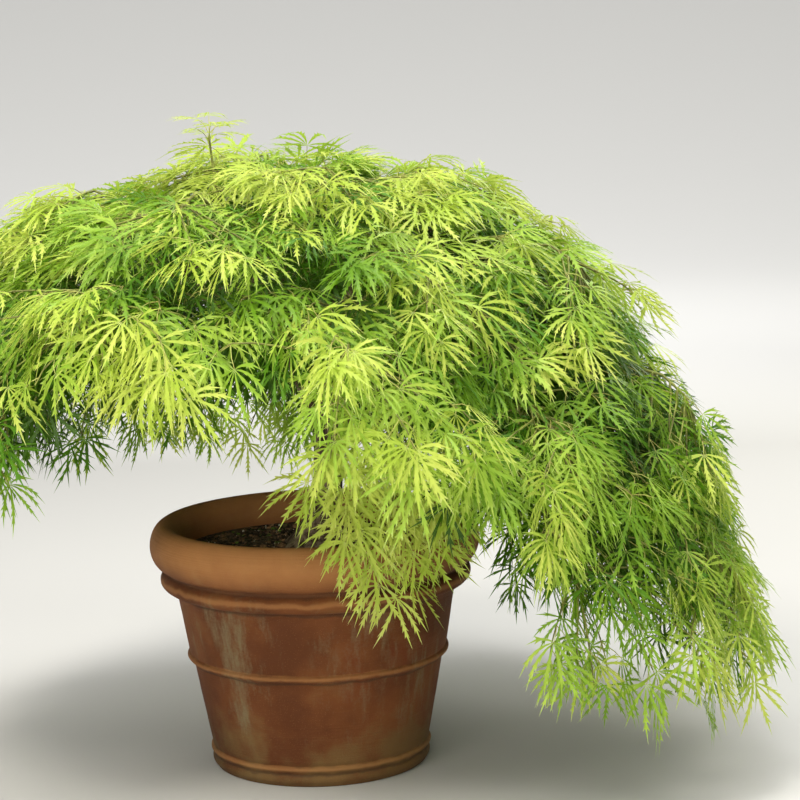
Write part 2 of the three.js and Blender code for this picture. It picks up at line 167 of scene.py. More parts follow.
class Sheet:
    """The node sheet of one material."""

    def __init__(self, name: str) -> None:
        """Makes an empty material.

        Args:
            name: The material's name.
        """
        self.material = bpy.data.materials.new(name)
        self.material.use_nodes = True
        self.tree = self.material.node_tree
        self.tree.nodes.clear()

    def node(
        self,
        kind: str,
        settings: dict[str, object] | None = None,
        inputs: dict[int | str, object] | None = None,
        output: int | str = 0,
    ) -> "Value":
        """Adds a node.

        Args:
            kind: The node's type.
            settings: Its settings.
            inputs: A value or a link for each named or numbered socket.
            output: The socket that is handed back.

        Returns:
            That output.
        """
        made = self.tree.nodes.new(kind)
        for name, setting in (settings or {}).items():
            setattr(made, name, setting)
        for key, value in (inputs or {}).items():
            if isinstance(value, Value):
                self.tree.links.new(value.socket, made.inputs[key])
            else:
                made.inputs[key].default_value = value
        return Value(self, made.outputs[output])

    def place(self) -> "Value":
        """The point on the piece, in metres."""
        return self.node("ShaderNodeTexCoord", output="Object")

    def chart(self) -> "Value":
        """The piece's own UV chart."""
        return self.node("ShaderNodeTexCoord", output="UV")

    def stretched(self, where: "Value", scale: Sequence[float]) -> "Value":
        """A pattern's place, stretched along each axis."""
        return self.node("ShaderNodeMapping", None, {"Vector": where, "Scale": scale})

    def cloud(self, where: "Value", scale: float, detail: float = 3.0, rough: float = 0.55) -> "Value":
        """Soft noise from 0 to 1, at a scale in patches to the metre, with finer layers of a strength."""
        inputs = {"Vector": where, "Scale": scale, "Detail": detail, "Roughness": rough}
        return self.node("ShaderNodeTexNoise", None, inputs, "Fac")

    def cells(self, where: "Value", scale: float) -> "Value":
        """The distance from the middle of the nearest cell."""
        return self.node("ShaderNodeTexVoronoi", None, {"Vector": where, "Scale": scale}, "Distance")

    def step(self, value: "Value", low: float, high: float) -> "Value":
        """A mask that rises smoothly from 0 at low to 1 at high."""
        inputs = {"Value": value, "From Min": low, "From Max": high}
        return self.node("ShaderNodeMapRange", {"interpolation_type": "SMOOTHSTEP"}, inputs)

    def band(self, value: "Value", middle: float, half: float, soft: float) -> "Value":
        """A mask that is 1 within half a width of the middle and falls to 0 over a soft edge."""
        rise = self.step(value, middle - half - soft, middle - half)
        return rise * (1.0 - self.step(value, middle + half, middle + half + soft))

    def blend(self, mask: "Value | float", first: "Value | Colour", second: "Value | Colour") -> "Value":
        """A colour that goes from the first to the second by a mask."""
        settings = {"data_type": "RGBA"}
        return self.node("ShaderNodeMix", settings, {0: mask, 6: first, 7: second}, 2)

    def part(self, vector: "Value", axis: str) -> "Value":
        """The X, Y or Z of a vector."""
        return self.node("ShaderNodeSeparateXYZ", None, {0: vector}, axis)

    def relief(self, height: "Value", depth: float, under: "Value | None" = None) -> "Value":
        """A surface direction for bumps.

        Args:
            height: The bumps, from 0 to 1.
            depth: How high 1 is, in metres.
            under: Another relief that this one lies on.

        Returns:
            The direction.
        """
        inputs: dict[int | str, object] = {"Height": height, "Distance": depth, "Strength": 1.0}
        if under is not None:
            inputs["Normal"] = under
        return self.node("ShaderNodeBump", None, inputs)

    def surface(self, colour: "Value", rough: "Value | float", bumps: "Value", gloss: float) -> "Value":
        """An opaque surface: its colour, how rough it is, its relief and the level of its highlights."""
        inputs = {"Base Color": colour, "Roughness": rough, "Normal": bumps, "Specular IOR Level": gloss}
        return self.node("ShaderNodeBsdfPrincipled", None, inputs)

    def finish(self, surface: "Value") -> bpy.types.Material:
        """Puts a shader on the material's surface.

        Args:
            surface: The shader.

        Returns:
            The material.
        """
        end = self.tree.nodes.new("ShaderNodeOutputMaterial")
        self.tree.links.new(surface.socket, end.inputs["Surface"])
        return self.material


class Value:
    """A shader socket that Python's operators do sums on."""

    def __init__(self, sheet: Sheet, socket: bpy.types.NodeSocket) -> None:
        """Wraps an output of a sheet's node."""
        self.sheet = sheet
        self.socket = socket

    def _sum(self, operation: str, first: "Value | float", second: "Value | float") -> "Value":
        """A Math node's result."""
        return self.sheet.node("ShaderNodeMath", {"operation": operation}, {0: first, 1: second})

    def __add__(self, other: "Value | float") -> "Value":
        """The sum."""
        return self._sum("ADD", self, other)

    __radd__ = __add__

    def __sub__(self, other: "Value | float") -> "Value":
        """The difference."""
        return self._sum("SUBTRACT", self, other)

    def __rsub__(self, other: float) -> "Value":
        """A number less this one."""
        return self._sum("SUBTRACT", other, self)

    def __mul__(self, other: "Value | float") -> "Value":
        """The product."""
        return self._sum("MULTIPLY", self, other)

    __rmul__ = __mul__


# Finishes


@dataclass(frozen=True)
class Terracotta:
    """Old unglazed clay: lime bloom in streaks, green film low down, dirt and painted shade in grooves,
    painted highlights on rim and beads.
    """

    clay: str = "#764420"
    dark: str = "#5a3013"
    red: str = "#6e3214"
    bloom: str = "#7d7154"
    film: str = "#6c6a41"
    # The dirt colour also paints shade in the grooves.
    stain_and_shade: str = "#3c2a1c"
    # The worn colour also paints highlights on the rim's top and the beads' noses.
    wear_and_highlight: str = "#b57f4c"
    # Height and half width of each groove where shade is painted, in metres.
    shaded_groove_bands: tuple[Pair, ...] = ((0.2925, 0.006), (0.2605, 0.004), (0.157, 0.0025), (0.0185, 0.003))
    # Heights of the collar's and the beads' noses where wear and a painted highlight go, in metres.
    rubbed_and_lit_noses: tuple[float, ...] = (0.279, 0.166, 0.027)

    def material(self) -> bpy.types.Material:
        """Makes the finish.

        Returns:
            The clay's material.
        """
        sheet = Sheet("weathered_terracotta")
        where = sheet.place()
        height = sheet.part(where, "Z")
        ragged = height + (sheet.cloud(where, 28.0, 4.0) - 0.5) * 0.012
        patches = sheet.cloud(where, 5.5, 4.0, 0.6)
        colour = sheet.blend(sheet.step(patches, 0.38, 0.64), shade(self.dark), shade(self.clay))
        reddish = sheet.cloud(sheet.stretched(where, (7.0, 7.0, 3.0)), 1.0, 4.0, 0.6)
        colour = sheet.blend(sheet.step(reddish, 0.55, 0.72) * 0.75, colour, shade(self.red))
        streaks = sheet.cloud(sheet.stretched(where, (52.0, 52.0, 7.0)), 1.0, 5.0, 0.65)
        fields = sheet.cloud(sheet.stretched(where, (6.5, 6.5, 3.4)), 1.0, 3.0, 0.5)
        grain = sheet.cloud(where, 240.0, 3.0, 0.7)
        wall = sheet.step(height, 0.03, 0.09) * (1.0 - sheet.step(height, 0.262, 0.3))
        left = 1.0 - sheet.step(sheet.part(where, "X"), -0.14, 0.06)
        lime = sheet.step(streaks * 0.55 + fields * 0.7 + grain * 0.16 + left * 0.07, 0.75, 0.96)
        lime = lime * (wall * 0.6 + 0.14)
        colour = sheet.blend(lime, colour, shade(self.bloom))
        low = 1.0 - sheet.step(ragged, 0.0, 0.13)
        green = sheet.step(sheet.cloud(where, 11.0, 5.0, 0.65) + low * 0.3, 0.56, 0.84)
        colour = sheet.blend(green * 0.38, colour, shade(self.film))
        # Wear with a painted highlight: a light band along the nose of the collar and of each bead.
        for middle in self.rubbed_and_lit_noses:
            colour = sheet.blend(sheet.band(ragged, middle, 0.001, 0.005) * 0.4, colour, shade(self.wear_and_highlight))
        # Wear with a painted highlight: the top of the rim roll is lighter, in patches, as where it faces up
        # to the light.
        crest = sheet.step(ragged, 0.288, 0.335) * (sheet.cloud(where, 16.0, 4.0) * 0.7 + 0.28)
        colour = sheet.blend(crest, colour, shade(self.wear_and_highlight))
        # Dirt in random patches, with painted shade in the grooves under the rim roll, the collar and the
        # beads.
        stain_and_shade = sheet.step(sheet.cloud(where, 75.0, 4.0, 0.7), 0.62, 0.8) * 0.3
        for middle, half in self.shaded_groove_bands:
            stain_and_shade = stain_and_shade + sheet.band(ragged, middle, half * 0.3, half) * 0.5
        colour = sheet.blend(sheet.step(stain_and_shade, 0.0, 1.0), colour, shade(self.stain_and_shade))
        speckle = sheet.step(sheet.cells(where, 420.0), 0.08, 0.2)
        colour = sheet.blend((1.0 - speckle) * 0.35, colour, shade(self.wear_and_highlight))
        turning = sheet.cloud(sheet.stretched(where, (5.0, 5.0, 420.0)), 1.0, 2.0)
        pores = sheet.cloud(where, 520.0, 3.0, 0.7)
        bumps = sheet.relief(pores, 0.0006, sheet.relief(turning, 0.0007))
        rough = 0.8 + lime * 0.16 + (sheet.cloud(where, 30.0) - 0.5) * 0.16
        return sheet.finish(sheet.surface(colour, rough, bumps, 0.28))


@dataclass(frozen=True)
class Earth:
    """Damp dark potting soil."""

    damp: str = "#2b2217"
    dry: str = "#665543"

    def material(self) -> bpy.types.Material:
        """Makes the finish.

        Returns:
            The soil's material.
        """
        sheet = Sheet("potting_soil")
        where = sheet.place()
        crumbs = sheet.cloud(where, 160.0, 5.0, 0.7)
        patches = sheet.cloud(where, 18.0, 3.0)
        dried = sheet.step(crumbs * 0.7 + patches * 0.5, 0.5, 0.78)
        colour = sheet.blend(dried, shade(self.damp), shade(self.dry))
        bumps = sheet.relief(crumbs, 0.004, sheet.relief(sheet.cells(where, 110.0), 0.003))
        return sheet.finish(sheet.surface(colour, 0.96, bumps, 0.2))


@dataclass(frozen=True)
class Crumb:
    """A grainy finish of two tones, as the loose bits on the soil have it."""

    name: str
    light: str
    dark: str
    tone: Point = (90.0, 3.0, 0.7)
    parting: Pair = (0.35, 0.65)
    grain: Point = (700.0, 3.0, 0.7)
    depth: float = 0.0006
    rough: float = 0.9
    gloss: float = 0.3

    def material(self) -> bpy.types.Material:
        """Makes the finish.

        Returns:
            The material.
        """
        sheet = Sheet(self.name)
        where = sheet.place()
        tone = sheet.step(sheet.cloud(where, *self.tone), *self.parting)
        colour = sheet.blend(tone, shade(self.dark), shade(self.light))
        bumps = sheet.relief(sheet.cloud(where, *self.grain), self.depth)
        return sheet.finish(sheet.surface(colour, self.rough, bumps, self.gloss))


@dataclass(frozen=True)
class Bark:
    """Grey-brown bark with long pale furrows and a green tinge."""

    name: str = "trunk_bark"
    ridge: str = "#83715c"
    furrow: str = "#3e3024"
    tinge: str = "#6b6a45"
    stretch: Point = (95.0, 95.0, 16.0)
    depth: float = 0.0016
    scar: str = "#a3927a"

    def material(self) -> bpy.types.Material:
        """Makes the finish.

        Returns:
            The bark's material.
        """
        sheet = Sheet(self.name)
        where = sheet.place()
        strips = sheet.cloud(sheet.stretched(where, self.stretch), 1.0, 5.0, 0.65)
        colour = sheet.blend(sheet.step(strips, 0.4, 0.62), shade(self.furrow), shade(self.ridge))
        patches = sheet.cloud(where, 24.0, 4.0, 0.6)
        colour = sheet.blend(sheet.step(patches, 0.52, 0.75) * 0.5, colour, shade(self.tinge))
        scars = sheet.step(sheet.cells(sheet.stretched(where, (60.0, 60.0, 170.0)), 1.0), 0.04, 0.16)
        colour = sheet.blend((1.0 - scars) * 0.35, colour, shade(self.scar))
        fine = sheet.cloud(where, 420.0, 3.0, 0.7)
        bumps = sheet.relief(fine, 0.0005, sheet.relief(strips, self.depth))
        return sheet.finish(sheet.surface(colour, 0.86, bumps, 0.25))


@dataclass(frozen=True)
class YoungWood(Crumb):
    """The smoother finish of thin wood, such as twigs and leaf stalks."""

    tone: Point = (40.0, 3.0, 0.6)
    parting: Pair = (0.35, 0.68)
    grain: Point = (500.0, 2.0, 0.55)
    depth: float = 0.0003
    rough: float = 0.62
    gloss: float = 0.35


@dataclass(frozen=True)
class Blade:
    """A thin leaf: greener at its heel, with painted shade there too, pale at its tips, and lit through by
    the sun.

    The chart runs from the heel to a lobe's tip, and from its midrib to its teeth.
    """

    name: str
    body: str
    heel: str
    tip: str
    through: str
    clear: float = 0.38

    def material(self) -> bpy.types.Material:
        """Makes the finish.

        Returns:
            The leaf's material.
        """
        sheet = Sheet(self.name)
        where = sheet.place()
        chart = sheet.chart()
        reach, off = sheet.part(chart, "X"), sheet.part(chart, "Y")
        tone = sheet.cloud(where, 14.0, 3.0, 0.6)
        colour = sheet.blend(sheet.step(tone, 0.34, 0.68), shade(self.heel), shade(self.body))
        # Darker and greener towards the heel: the leaf's own colour, deepened as painted shade to give each
        # leaf depth.
        colour = sheet.blend((1.0 - sheet.step(reach, 0.02, 0.4)) * 0.5, colour, shade(self.heel))
        frost = sheet.step(reach * 0.75 + off * 0.3 + (sheet.cloud(where, 55.0) - 0.5) * 0.5, 0.6, 1.05)
        colour = sheet.blend(frost * 0.9, colour, shade(self.tip))
        vein = (1.0 - sheet.step(off, 0.02, 0.16)) * 0.45
        colour = sheet.blend(vein, colour, shade(self.tip))
        grain = sheet.relief(sheet.cloud(where, 380.0, 2.0), 0.0002)
        rough = 0.42 + (sheet.cloud(where, 60.0) - 0.5) * 0.16
        front = sheet.surface(colour, rough, grain, 0.28)
        behind = sheet.node("ShaderNodeBsdfTranslucent", None, {"Color": shade(self.through)})
        return sheet.finish(sheet.node("ShaderNodeMixShader", None, {0: self.clear, 1: front, 2: behind}))


class Spray(Enum):
    """Lit and shaded copies of the leaf colour, painted light and shade that the sprays are dealt, from the
    sunniest to the most shaded.
    """

    GOLD = Blade("leaf_gold", "#ced765", "#a9c241", "#f1f1b0", "#c6d65c")
    LIME = Blade("leaf_lime", "#b2ca50", "#88ae34", "#e0e99e", "#b3cf48")
    FRESH = Blade("leaf_fresh", "#8db032", "#67901e", "#cada7c", "#8fb72c")
    GREEN = Blade("leaf_green", "#5f8f1e", "#447112", "#8cb240", "#6aa01a", 0.34)
    DEEP = Blade("leaf_deep", "#456b0c", "#305008", "#658a22", "#55800c", 0.3)


# Mesh making


def spun(outline: Sequence[Point], sides: int, merge: float = MERGE) -> bmesh.types.BMesh:
    """Spins an outline round the upright axis.

    Args:
        outline: Its points, in metres, the first or last of them on the axis or not.
        sides: How many steps a whole turn takes.
        merge: How near two points are to become one.

    Returns:
        The shape.
    """
    bm = bmesh.new()
    verts = [bm.verts.new(point) for point in outline]
    edges = [bm.edges.new(pair) for pair in zip(verts, verts[1:])]
    bmesh.ops.spin(
        bm,
        geom=[*verts, *edges],
        cent=(0.0, 0.0, 0.0),
        axis=UP,
        angle=2 * math.pi,
        steps=sides,
        use_merge=True,
    )
    bmesh.ops.remove_doubles(bm, verts=bm.verts, dist=merge)
    return bm


def made_of(
    bm: bmesh.types.BMesh, name: str, material: bpy.types.Material, soft: bool = True
) -> bpy.types.Object:
    """Turns a finished bmesh into a piece of the scene.

    Args:
        bm: The shape, which is freed.
        name: The piece's name.
        material: Its finish.
        soft: Whether its faces are shaded as one smooth surface.

    Returns:
        The piece.
    """
    bmesh.ops.recalc_face_normals(bm, faces=bm.faces)
    for face in bm.faces:
        face.smooth = soft
    mesh = bpy.data.meshes.new(name)
    bm.to_mesh(mesh)
    bm.free()
    return placed(mesh, name, material)


def placed(mesh: bpy.types.Mesh, name: str, material: bpy.types.Material) -> bpy.types.Object:
    """Puts a mesh into the scene as a named piece with one finish.

    Args:
        mesh: The mesh.
        name: The piece's name.
        material: Its finish.

    Returns:
        The piece.
    """
    mesh.materials.append(material)
    piece = bpy.data.objects.new(name, mesh)
    bpy.context.scene.collection.objects.link(piece)
    return piece


def belongs(piece: bpy.types.Object, nodes: Iterable[str] = ()) -> None:
    """Says what a piece stands for and reports it.

    Args:
        piece: A finished piece.
        nodes: The solids that it is shown in place of.
    """
    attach(piece, "root")
    names = list(nodes)
    if names:
        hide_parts(*names)
    LOG.info("%s: %d faces for %d solids", piece.name, len(piece.data.polygons), len(names))


def nodes_named(start: str) -> list[str]:
    """The names of the solids that begin with a word."""
    return sorted(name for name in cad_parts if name.startswith(start))


@dataclass
class Pattern:
    """A small shape that is repeated, with a chart for each of its corners."""

    corners: np.ndarray
    faces: list[Face]
    chart: np.ndarray

    @classmethod
    def from_bmesh(cls, bm: bmesh.types.BMesh) -> "Pattern":
        """Keeps the shape of a bmesh.

        Args:
            bm: The shape, which is freed.

        Returns:
            The pattern, with a blank chart.
        """
        corners = np.array([vert.co[:] for vert in bm.verts])
        faces = [tuple(vert.index for vert in face.verts) for face in bm.faces]
        bm.free()
        return cls(corners, faces, np.zeros((len(corners), 2)))


class Heap:
    """Many small shapes joined into one mesh from arrays."""

    def __init__(self) -> None:
        """Starts an empty heap."""
        self.points: list[np.ndarray] = []
        self.loops: list[np.ndarray] = []
        self.sizes: list[np.ndarray] = []
        self.charts: list[np.ndarray] = []
        self.count = 0

    def add(self, points: np.ndarray, faces: list[Face], chart: np.ndarray) -> None:
        """Adds copies of a shape.

        Args:
            points: The corners of every copy, as copies by corners by three, in metres.
            faces: The corners of each face of one copy.
            chart: The chart of each corner of one copy.
        """
        copies, corners = points.shape[:2]
        loops = np.array([corner for face in faces for corner in face])
        starts = self.count + corners * np.arange(copies)
        self.points.append(points.reshape(-1, 3))
        self.loops.append((starts[:, None] + loops[None]).ravel())
        self.sizes.append(np.tile([len(face) for face in faces], copies))
        self.charts.append(np.tile(chart[loops], (copies, 1)))
        self.count += copies * corners

    def piece(self, name: str, material: bpy.types.Material, soft: bool) -> bpy.types.Object:
        """Makes the piece.

        Args:
            name: Its name.
            material: Its finish.
            soft: Whether it is shaded as one smooth surface.

        Returns:
            The piece.
        """
        points, loops = np.concatenate(self.points), np.concatenate(self.loops)
        sizes, charts = np.concatenate(self.sizes), np.concatenate(self.charts)
        mesh = bpy.data.meshes.new(name)
        mesh.vertices.add(len(points))
        mesh.vertices.foreach_set("co", points.astype(np.float32).ravel())
        mesh.loops.add(len(loops))
        mesh.loops.foreach_set("vertex_index", loops.astype(np.int32))
        mesh.polygons.add(len(sizes))
        mesh.polygons.foreach_set("loop_start", np.r_[0, np.cumsum(sizes)[:-1]].astype(np.int32))
        layer = mesh.uv_layers.new(name="chart")
        layer.uv.foreach_set("vector", charts.astype(np.float32).ravel())
        mesh.polygons.foreach_set("use_smooth", np.full(len(sizes), soft))
        mesh.update(calc_edges=True)
        return placed(mesh, name, material)


def tube(line: Sequence[Vector], radii: Sequence[float], sides: int) -> tuple[np.ndarray, list[Face]]:
    """A thin tube along a line, open at both ends.

    Args:
        line: Its middle, in millimetres.
        radii: Its radius at each point.
        sides: How many sides it has.

    Returns:
        Its corners in metres, and its faces.
    """
    middle = np.array([p[:] for p in line])
    heading = np.gradient(middle, axis=0)
    heading /= np.linalg.norm(heading, axis=1, keepdims=True)
    start = np.array((1.0, 0.0, 0.0)) if abs(heading[0, 2]) > 0.9 else np.array((0.0, 0.0, 1.0))
    across = np.cross(start[None], heading)
    across /= np.linalg.norm(across, axis=1, keepdims=True)
    other = np.cross(heading, across)
    angle = 2 * np.pi * np.arange(sides) / sides
    ring = across[:, None] * np.cos(angle)[None, :, None] + other[:, None] * np.sin(angle)[None, :, None]
    corners = middle[:, None] + ring * np.array(radii)[:, None, None]
    faces = []
    for low in range(0, (len(line) - 1) * sides, sides):
        for side in range(sides):
            after = (side + 1) % sides
            faces.append((low + side, low + after, low + sides + after, low + sides + side))
    return corners.reshape(-1, 3) * MM, faces


# Pot and soil


@dataclass(frozen=True)
class Pot:
    """The turned clay pot, in millimetres."""

    sides: int = 160
    foot: float = 154.0
    step: Pair = (191.0, 165.0)
    shoulder: Pair = (203.0, 262.0)
    collar: Pair = (226.0, 278.0)
    rim: Pair = (240.0, 328.0)
    roll: Pair = (21.0, 32.0)
    mouth: float = 201.0
    inner_foot: float = 136.0
    floor: float = 24.0
    wave: Pair = (9.0, 0.9)
    dent: Pair = (45.0, 0.3)
    still: Pair = (120.0, 4.0)

    @staticmethod
    def arc(centre: Pair, size: Pair, turn: Pair, steps: int) -> list[Pair]:
        """Points on a bead, from its middle, its half sizes, and the degrees that it starts and ends at."""
        angles = [math.radians(lerp(*turn, i / steps)) for i in range(steps + 1)]
        return [(centre[0] + size[0] * math.cos(a), centre[1] + size[1] * math.sin(a)) for a in angles]

    @staticmethod
    def wall(low: Pair, high: Pair, steps: int) -> list[Pair]:
        """Points up a straight wall."""
        shares = [i / steps for i in range(steps + 1)]
        return [(lerp(low[0], high[0], share), lerp(low[1], high[1], share)) for share in shares]

    def profile(self) -> list[Pair]:
        """Draws the outline from the middle of the underside round to the middle of the floor.

        Returns:
            The radius and height of each point.
        """
        wall_top = self.rim[1] - 6.0
        inner = [
            (lerp(self.mouth, self.inner_foot, s), lerp(wall_top, self.floor + 8.0, s))
            for s in (0.0, 0.02, 0.08, 0.3, 0.6, 1.0)
        ]
        return [
            (0.0, 0.0),
            (self.foot - 12.0, 0.0),
            *self.arc((self.foot - 2.0, 3.5), (4.0, 3.5), (-90, -10), 4),
            *self.arc((self.foot, 11.0), (6.0, 7.5), (-50, 60), 8),
            *self.arc((self.foot + 3.6, 26.0), (4.4, 4.0), (-60, 90), 8),
            (self.foot + 5.2, 32.0),
            *self.wall((self.foot + 6.0, 38.0), (self.step[0] - 9.0, self.step[1] - 10.0), 8),
            *self.arc((self.step[0] - 5.4, self.step[1]), (6.0, 4.6), (-75, 75), 10),
            *self.wall((self.step[0] - 2.6, self.step[1] + 7.0), self.shoulder, 8),
            *self.arc((self.collar[0] - 14.0, self.collar[1]), (14.0, 13.0), (-85, 60), 12),
            (self.collar[0] - 9.0, self.collar[1] + 13.0),
            *self.arc((self.rim[0] - self.roll[0], self.rim[1]), self.roll, (-80, 165), 30),
            *inner,
            (self.inner_foot - 8.0, self.floor),
            (0.0, self.floor),
        ]

    def build(self) -> bpy.types.Object:
        """Spins the outline, throws it slightly out of true and finishes it.

        Returns:
            The piece.
        """
        bm = spun([(radius * MM, 0.0, height * MM) for radius, height in self.profile()], self.sides)
        for vert in bm.verts:
            self.throw(vert)
        return made_of(bm, "clay_pot", Terracotta().material())

    def throw(self, vert: bmesh.types.BMVert) -> None:
        """Moves a point of the wall by the small waves and dents of thrown clay.

        Args:
            vert: The point, which stays where it is near the axis and on the underside.
        """
        outward = Vector((vert.co.x, vert.co.y, 0.0))
        if outward.length < self.still[0] * MM or vert.co.z < self.still[1] * MM:
            return
        outward.normalize()
        waves, dents = (noise.noise(vert.co * scale) * (size * MM) for scale, size in (self.wave, self.dent))
        vert.co += outward * (waves + dents)


@dataclass(frozen=True)
class Litter:
    """One kind of loose bit on the soil: how many, how long by half, how flat, and its random seed."""

    name: str
    finish: Crumb
    count: int
    half: Pair
    flat: float
    seed: int


@dataclass(frozen=True)
class Soil:
    """The soil in the pot and the loose bits on it, in millimetres."""

    level: float = 320.0
    edge: float = 315.0
    collar: float = 70.0
    radius: float = 199.5
    rings: int = 46
    sides: int = 120
    sunk: float = 1.2
    calm: float = 14.0
    skirt: Pair = (4.0, 30.0)
    lumps: tuple[Pair, ...] = ((0.03, 2.6), (0.11, 1.8), (0.35, 0.8))
    margin: float = 9.0
    jagged: Pair = (0.72, 1.18)
    wide: Pair = (0.45, 0.95)
    thick: Pair = (0.6, 1.1)
    tipped: Pair = (0.0, 0.6)
    bared: float = 0.35
    litter: tuple[Litter, ...] = (
        Litter("bark_chips", Crumb("bark_chip", "#8d6c4b", "#453223"), 520, (2.6, 7.5), 0.38, 31),
        Litter("soil_crumbs", Crumb("soil_crumb", "#6f5b42", "#2c2218"), 1500, (1.2, 3.6), 0.75, 32),
        Litter("pale_grit", Crumb("pale_grit", "#cfc8b0", "#97907a"), 240, (0.9, 2.3), 0.8, 33),
        Litter("moss_tufts", Crumb("moss_tuft", "#6f8431", "#3a4d1a"), 260, (1.6, 4.2), 0.5, 34),
    )

    def height(self, out: float) -> float:
        """How high the soil stands at a distance from the middle."""
        share = (out - self.collar) / (self.radius - self.collar)
        return lerp(self.level, self.edge, clamp(share, 0.0, 1.0))

    def surface(self, x: float, y: float) -> Vector:
        """Finds the lumpy surface over a place in the pot.

        Args:
            x: How far right of the middle the place is.
            y: How far behind the middle it is.

        Returns:
            The point, in millimetres.
        """
        out = math.hypot(x, y)
        place = Vector((x, y, 0.0))
        lumps = sum(noise.noise(place * scale) * height for scale, height in self.lumps)
        calm = 1.0 - smooth((out - self.radius + self.calm) / self.calm)
        return Vector((x, y, self.height(out) - self.sunk + lumps * calm))

    def build(self) -> None:
        """Makes the soil and strews its bits."""
        outline = [(self.radius * MM * i / self.rings, 0.0, 0.0) for i in range(self.rings + 1)]
        inward, down = self.skirt
        bm = spun([*outline, ((self.radius - inward) * MM, 0.0, -down * MM)], self.sides)
        for vert in bm.verts:
            lowered = vert.co.z
            vert.co = self.surface(vert.co.x / MM, vert.co.y / MM) * MM
            vert.co.z += lowered
        belongs(made_of(bm, "soil_surface", Earth().material()), ["soil"])
        for litter in self.litter:
            self.strew(litter)

    def strew(self, litter: Litter) -> None:
        """Scatters one kind of bit over the soil.

        Args:
            litter: The kind of bit.
        """
        bm = bmesh.new()
        bmesh.ops.create_icosphere(bm, subdivisions=1, radius=1.0)
        random = Stream(litter.seed)
        for vert in bm.verts:
            vert.co *= random.between(*self.jagged)
        pattern = Pattern.from_bmesh(bm)
        copies = []
        for _ in range(litter.count):
            out = (self.radius - self.margin) * math.sqrt(random.between(0.03, 1.0))
            turn = random.between(0.0, 2 * math.pi)
            half = lerp(*litter.half, random.next() ** 2)
            spot = self.surface(out * math.cos(turn), out * math.sin(turn))
            axis = (random.between(-1, 1), random.between(-1, 1), 0.01)
            tip = Quaternion(axis, random.between(*self.tipped))
            spin = Quaternion(UP, random.between(0.0, 2 * math.pi))
            wide = random.between(*self.wide)
            scale = Matrix.Diagonal((half, half * wide, half * litter.flat * random.between(*self.thick)))
            turnover = np.array((tip @ spin).to_matrix() @ scale)
            lift = spot + UP * half * litter.flat * self.bared
            copies.append((pattern.corners @ turnover.T + np.array(lift[:])) * MM)
        heap = Heap()
        heap.add(np.array(copies), pattern.faces, pattern.chart)
        belongs(heap.piece(litter.name, litter.finish.material(), False))


# The plant's own growing rule


@dataclass(frozen=True)
class Crown:
    """The dome that the foliage hangs on, with its reach and hem at every 30 degrees."""

    axis: Point = (40.0, 0.0, 0.0)
    top: float = 868.0
    fullness: float = 2.15
    left_fullness: float = 0.25
    reach: tuple[float, ...] = (565, 560, 545, 545, 570, 600, 625, 600, 540, 480, 475, 545)
    hem: tuple[float, ...] = (230, 270, 335, 440, 470, 455, 465, 530, 660, 605, 305, 235)
    steps: int = 48

    @staticmethod
    def around(sizes: Sequence[float], azimuth: float) -> float:
        """A size at an azimuth, eased between its neighbours.

        Args:
            sizes: The size at equal turns from the right.
            azimuth: In radians.

        Returns:
            The size there.
        """
        turn = (azimuth / (2 * math.pi) % 1.0) * len(sizes)
        low = int(turn)
        return lerp(sizes[low % len(sizes)], sizes[(low + 1) % len(sizes)], smooth(turn - low))

    def shape(self, azimuth: float) -> tuple[float, float, float, float]:
        """Finds the dome's sizes at an azimuth.

        Args:
            azimuth: In radians.

        Returns:
            Its reach, the height of its hem, its rise above that, and its fullness.
        """
        hem = self.around(self.hem, azimuth)
        power = self.fullness - self.left_fullness * math.cos(azimuth)
        return self.around(self.reach, azimuth), hem, self.top - hem, power

    def meridian(self, azimuth: float) -> tuple[list[Vector], list[float]]:
        """Draws the dome's line from its top to its hem.

        Args:
            azimuth: In radians.

        Returns:
            The line and the distance run at each of its points.
        """
        reach, hem, rise, power = self.shape(azimuth)
        line = []
        for i in range(self.steps + 1):
            swing = i / self.steps * math.pi / 2
            out = reach * math.sin(swing) ** (2 / power)
            up = hem + rise * max(math.cos(swing), 0.0) ** (2 / power)
            line.append(Vector((out * math.cos(azimuth), out * math.sin(azimuth), up)) + Vector(self.axis))
        return line, runs_of(line)

    def down(self, azimuth: float, distance: float) -> Vector:
        """Finds the point of the dome at a distance from its top, or straight under its hem.

        Args:
            azimuth: In radians.
            distance: How far down the dome it is.

        Returns:
            The point.
        """
        line, run = self.meridian(azimuth)
        if distance > run[-1]:
            return line[-1] - UP * (distance - run[-1])
        wanted = max(distance, 0.0)
        i = max(next(k for k, r in enumerate(run) if r >= wanted), 1)
        return line[i - 1].lerp(line[i], (wanted - run[i - 1]) / (run[i] - run[i - 1]))

    def under(self, point: Vector) -> tuple[float, Vector]:
        """Measures a point against the dome.

        Args:
            point: Anywhere in or near the dome.

        Returns:
            How far it lies under the dome, and the way out of it.
        """
        flat = point - Vector(self.axis)
        azimuth = math.atan2(flat.y, flat.x)
        reach, hem, rise, power = self.shape(azimuth)
        out = max(math.hypot(flat.x, flat.y), 1e-3)
        up = max(point.z - hem, 0.0)
        level = ((out / reach) ** power + (up / rise) ** power) ** (1 / power)
        side = out ** (power - 1) / reach**power
        top = up ** (power - 1) / rise**power
        away = Vector((math.cos(azimuth) * side, math.sin(azimuth) * side, top))
        return math.hypot(out, up) * (1 / level - 1), away.normalized()

    @staticmethod
    def downhill(away: Vector) -> Vector:
        """The steepest way down a surface."""
        slope = away * away.z - UP
        return slope.normalized() if slope.length_squared > 1e-4 else Vector((1.0, 0.0, 0.0))


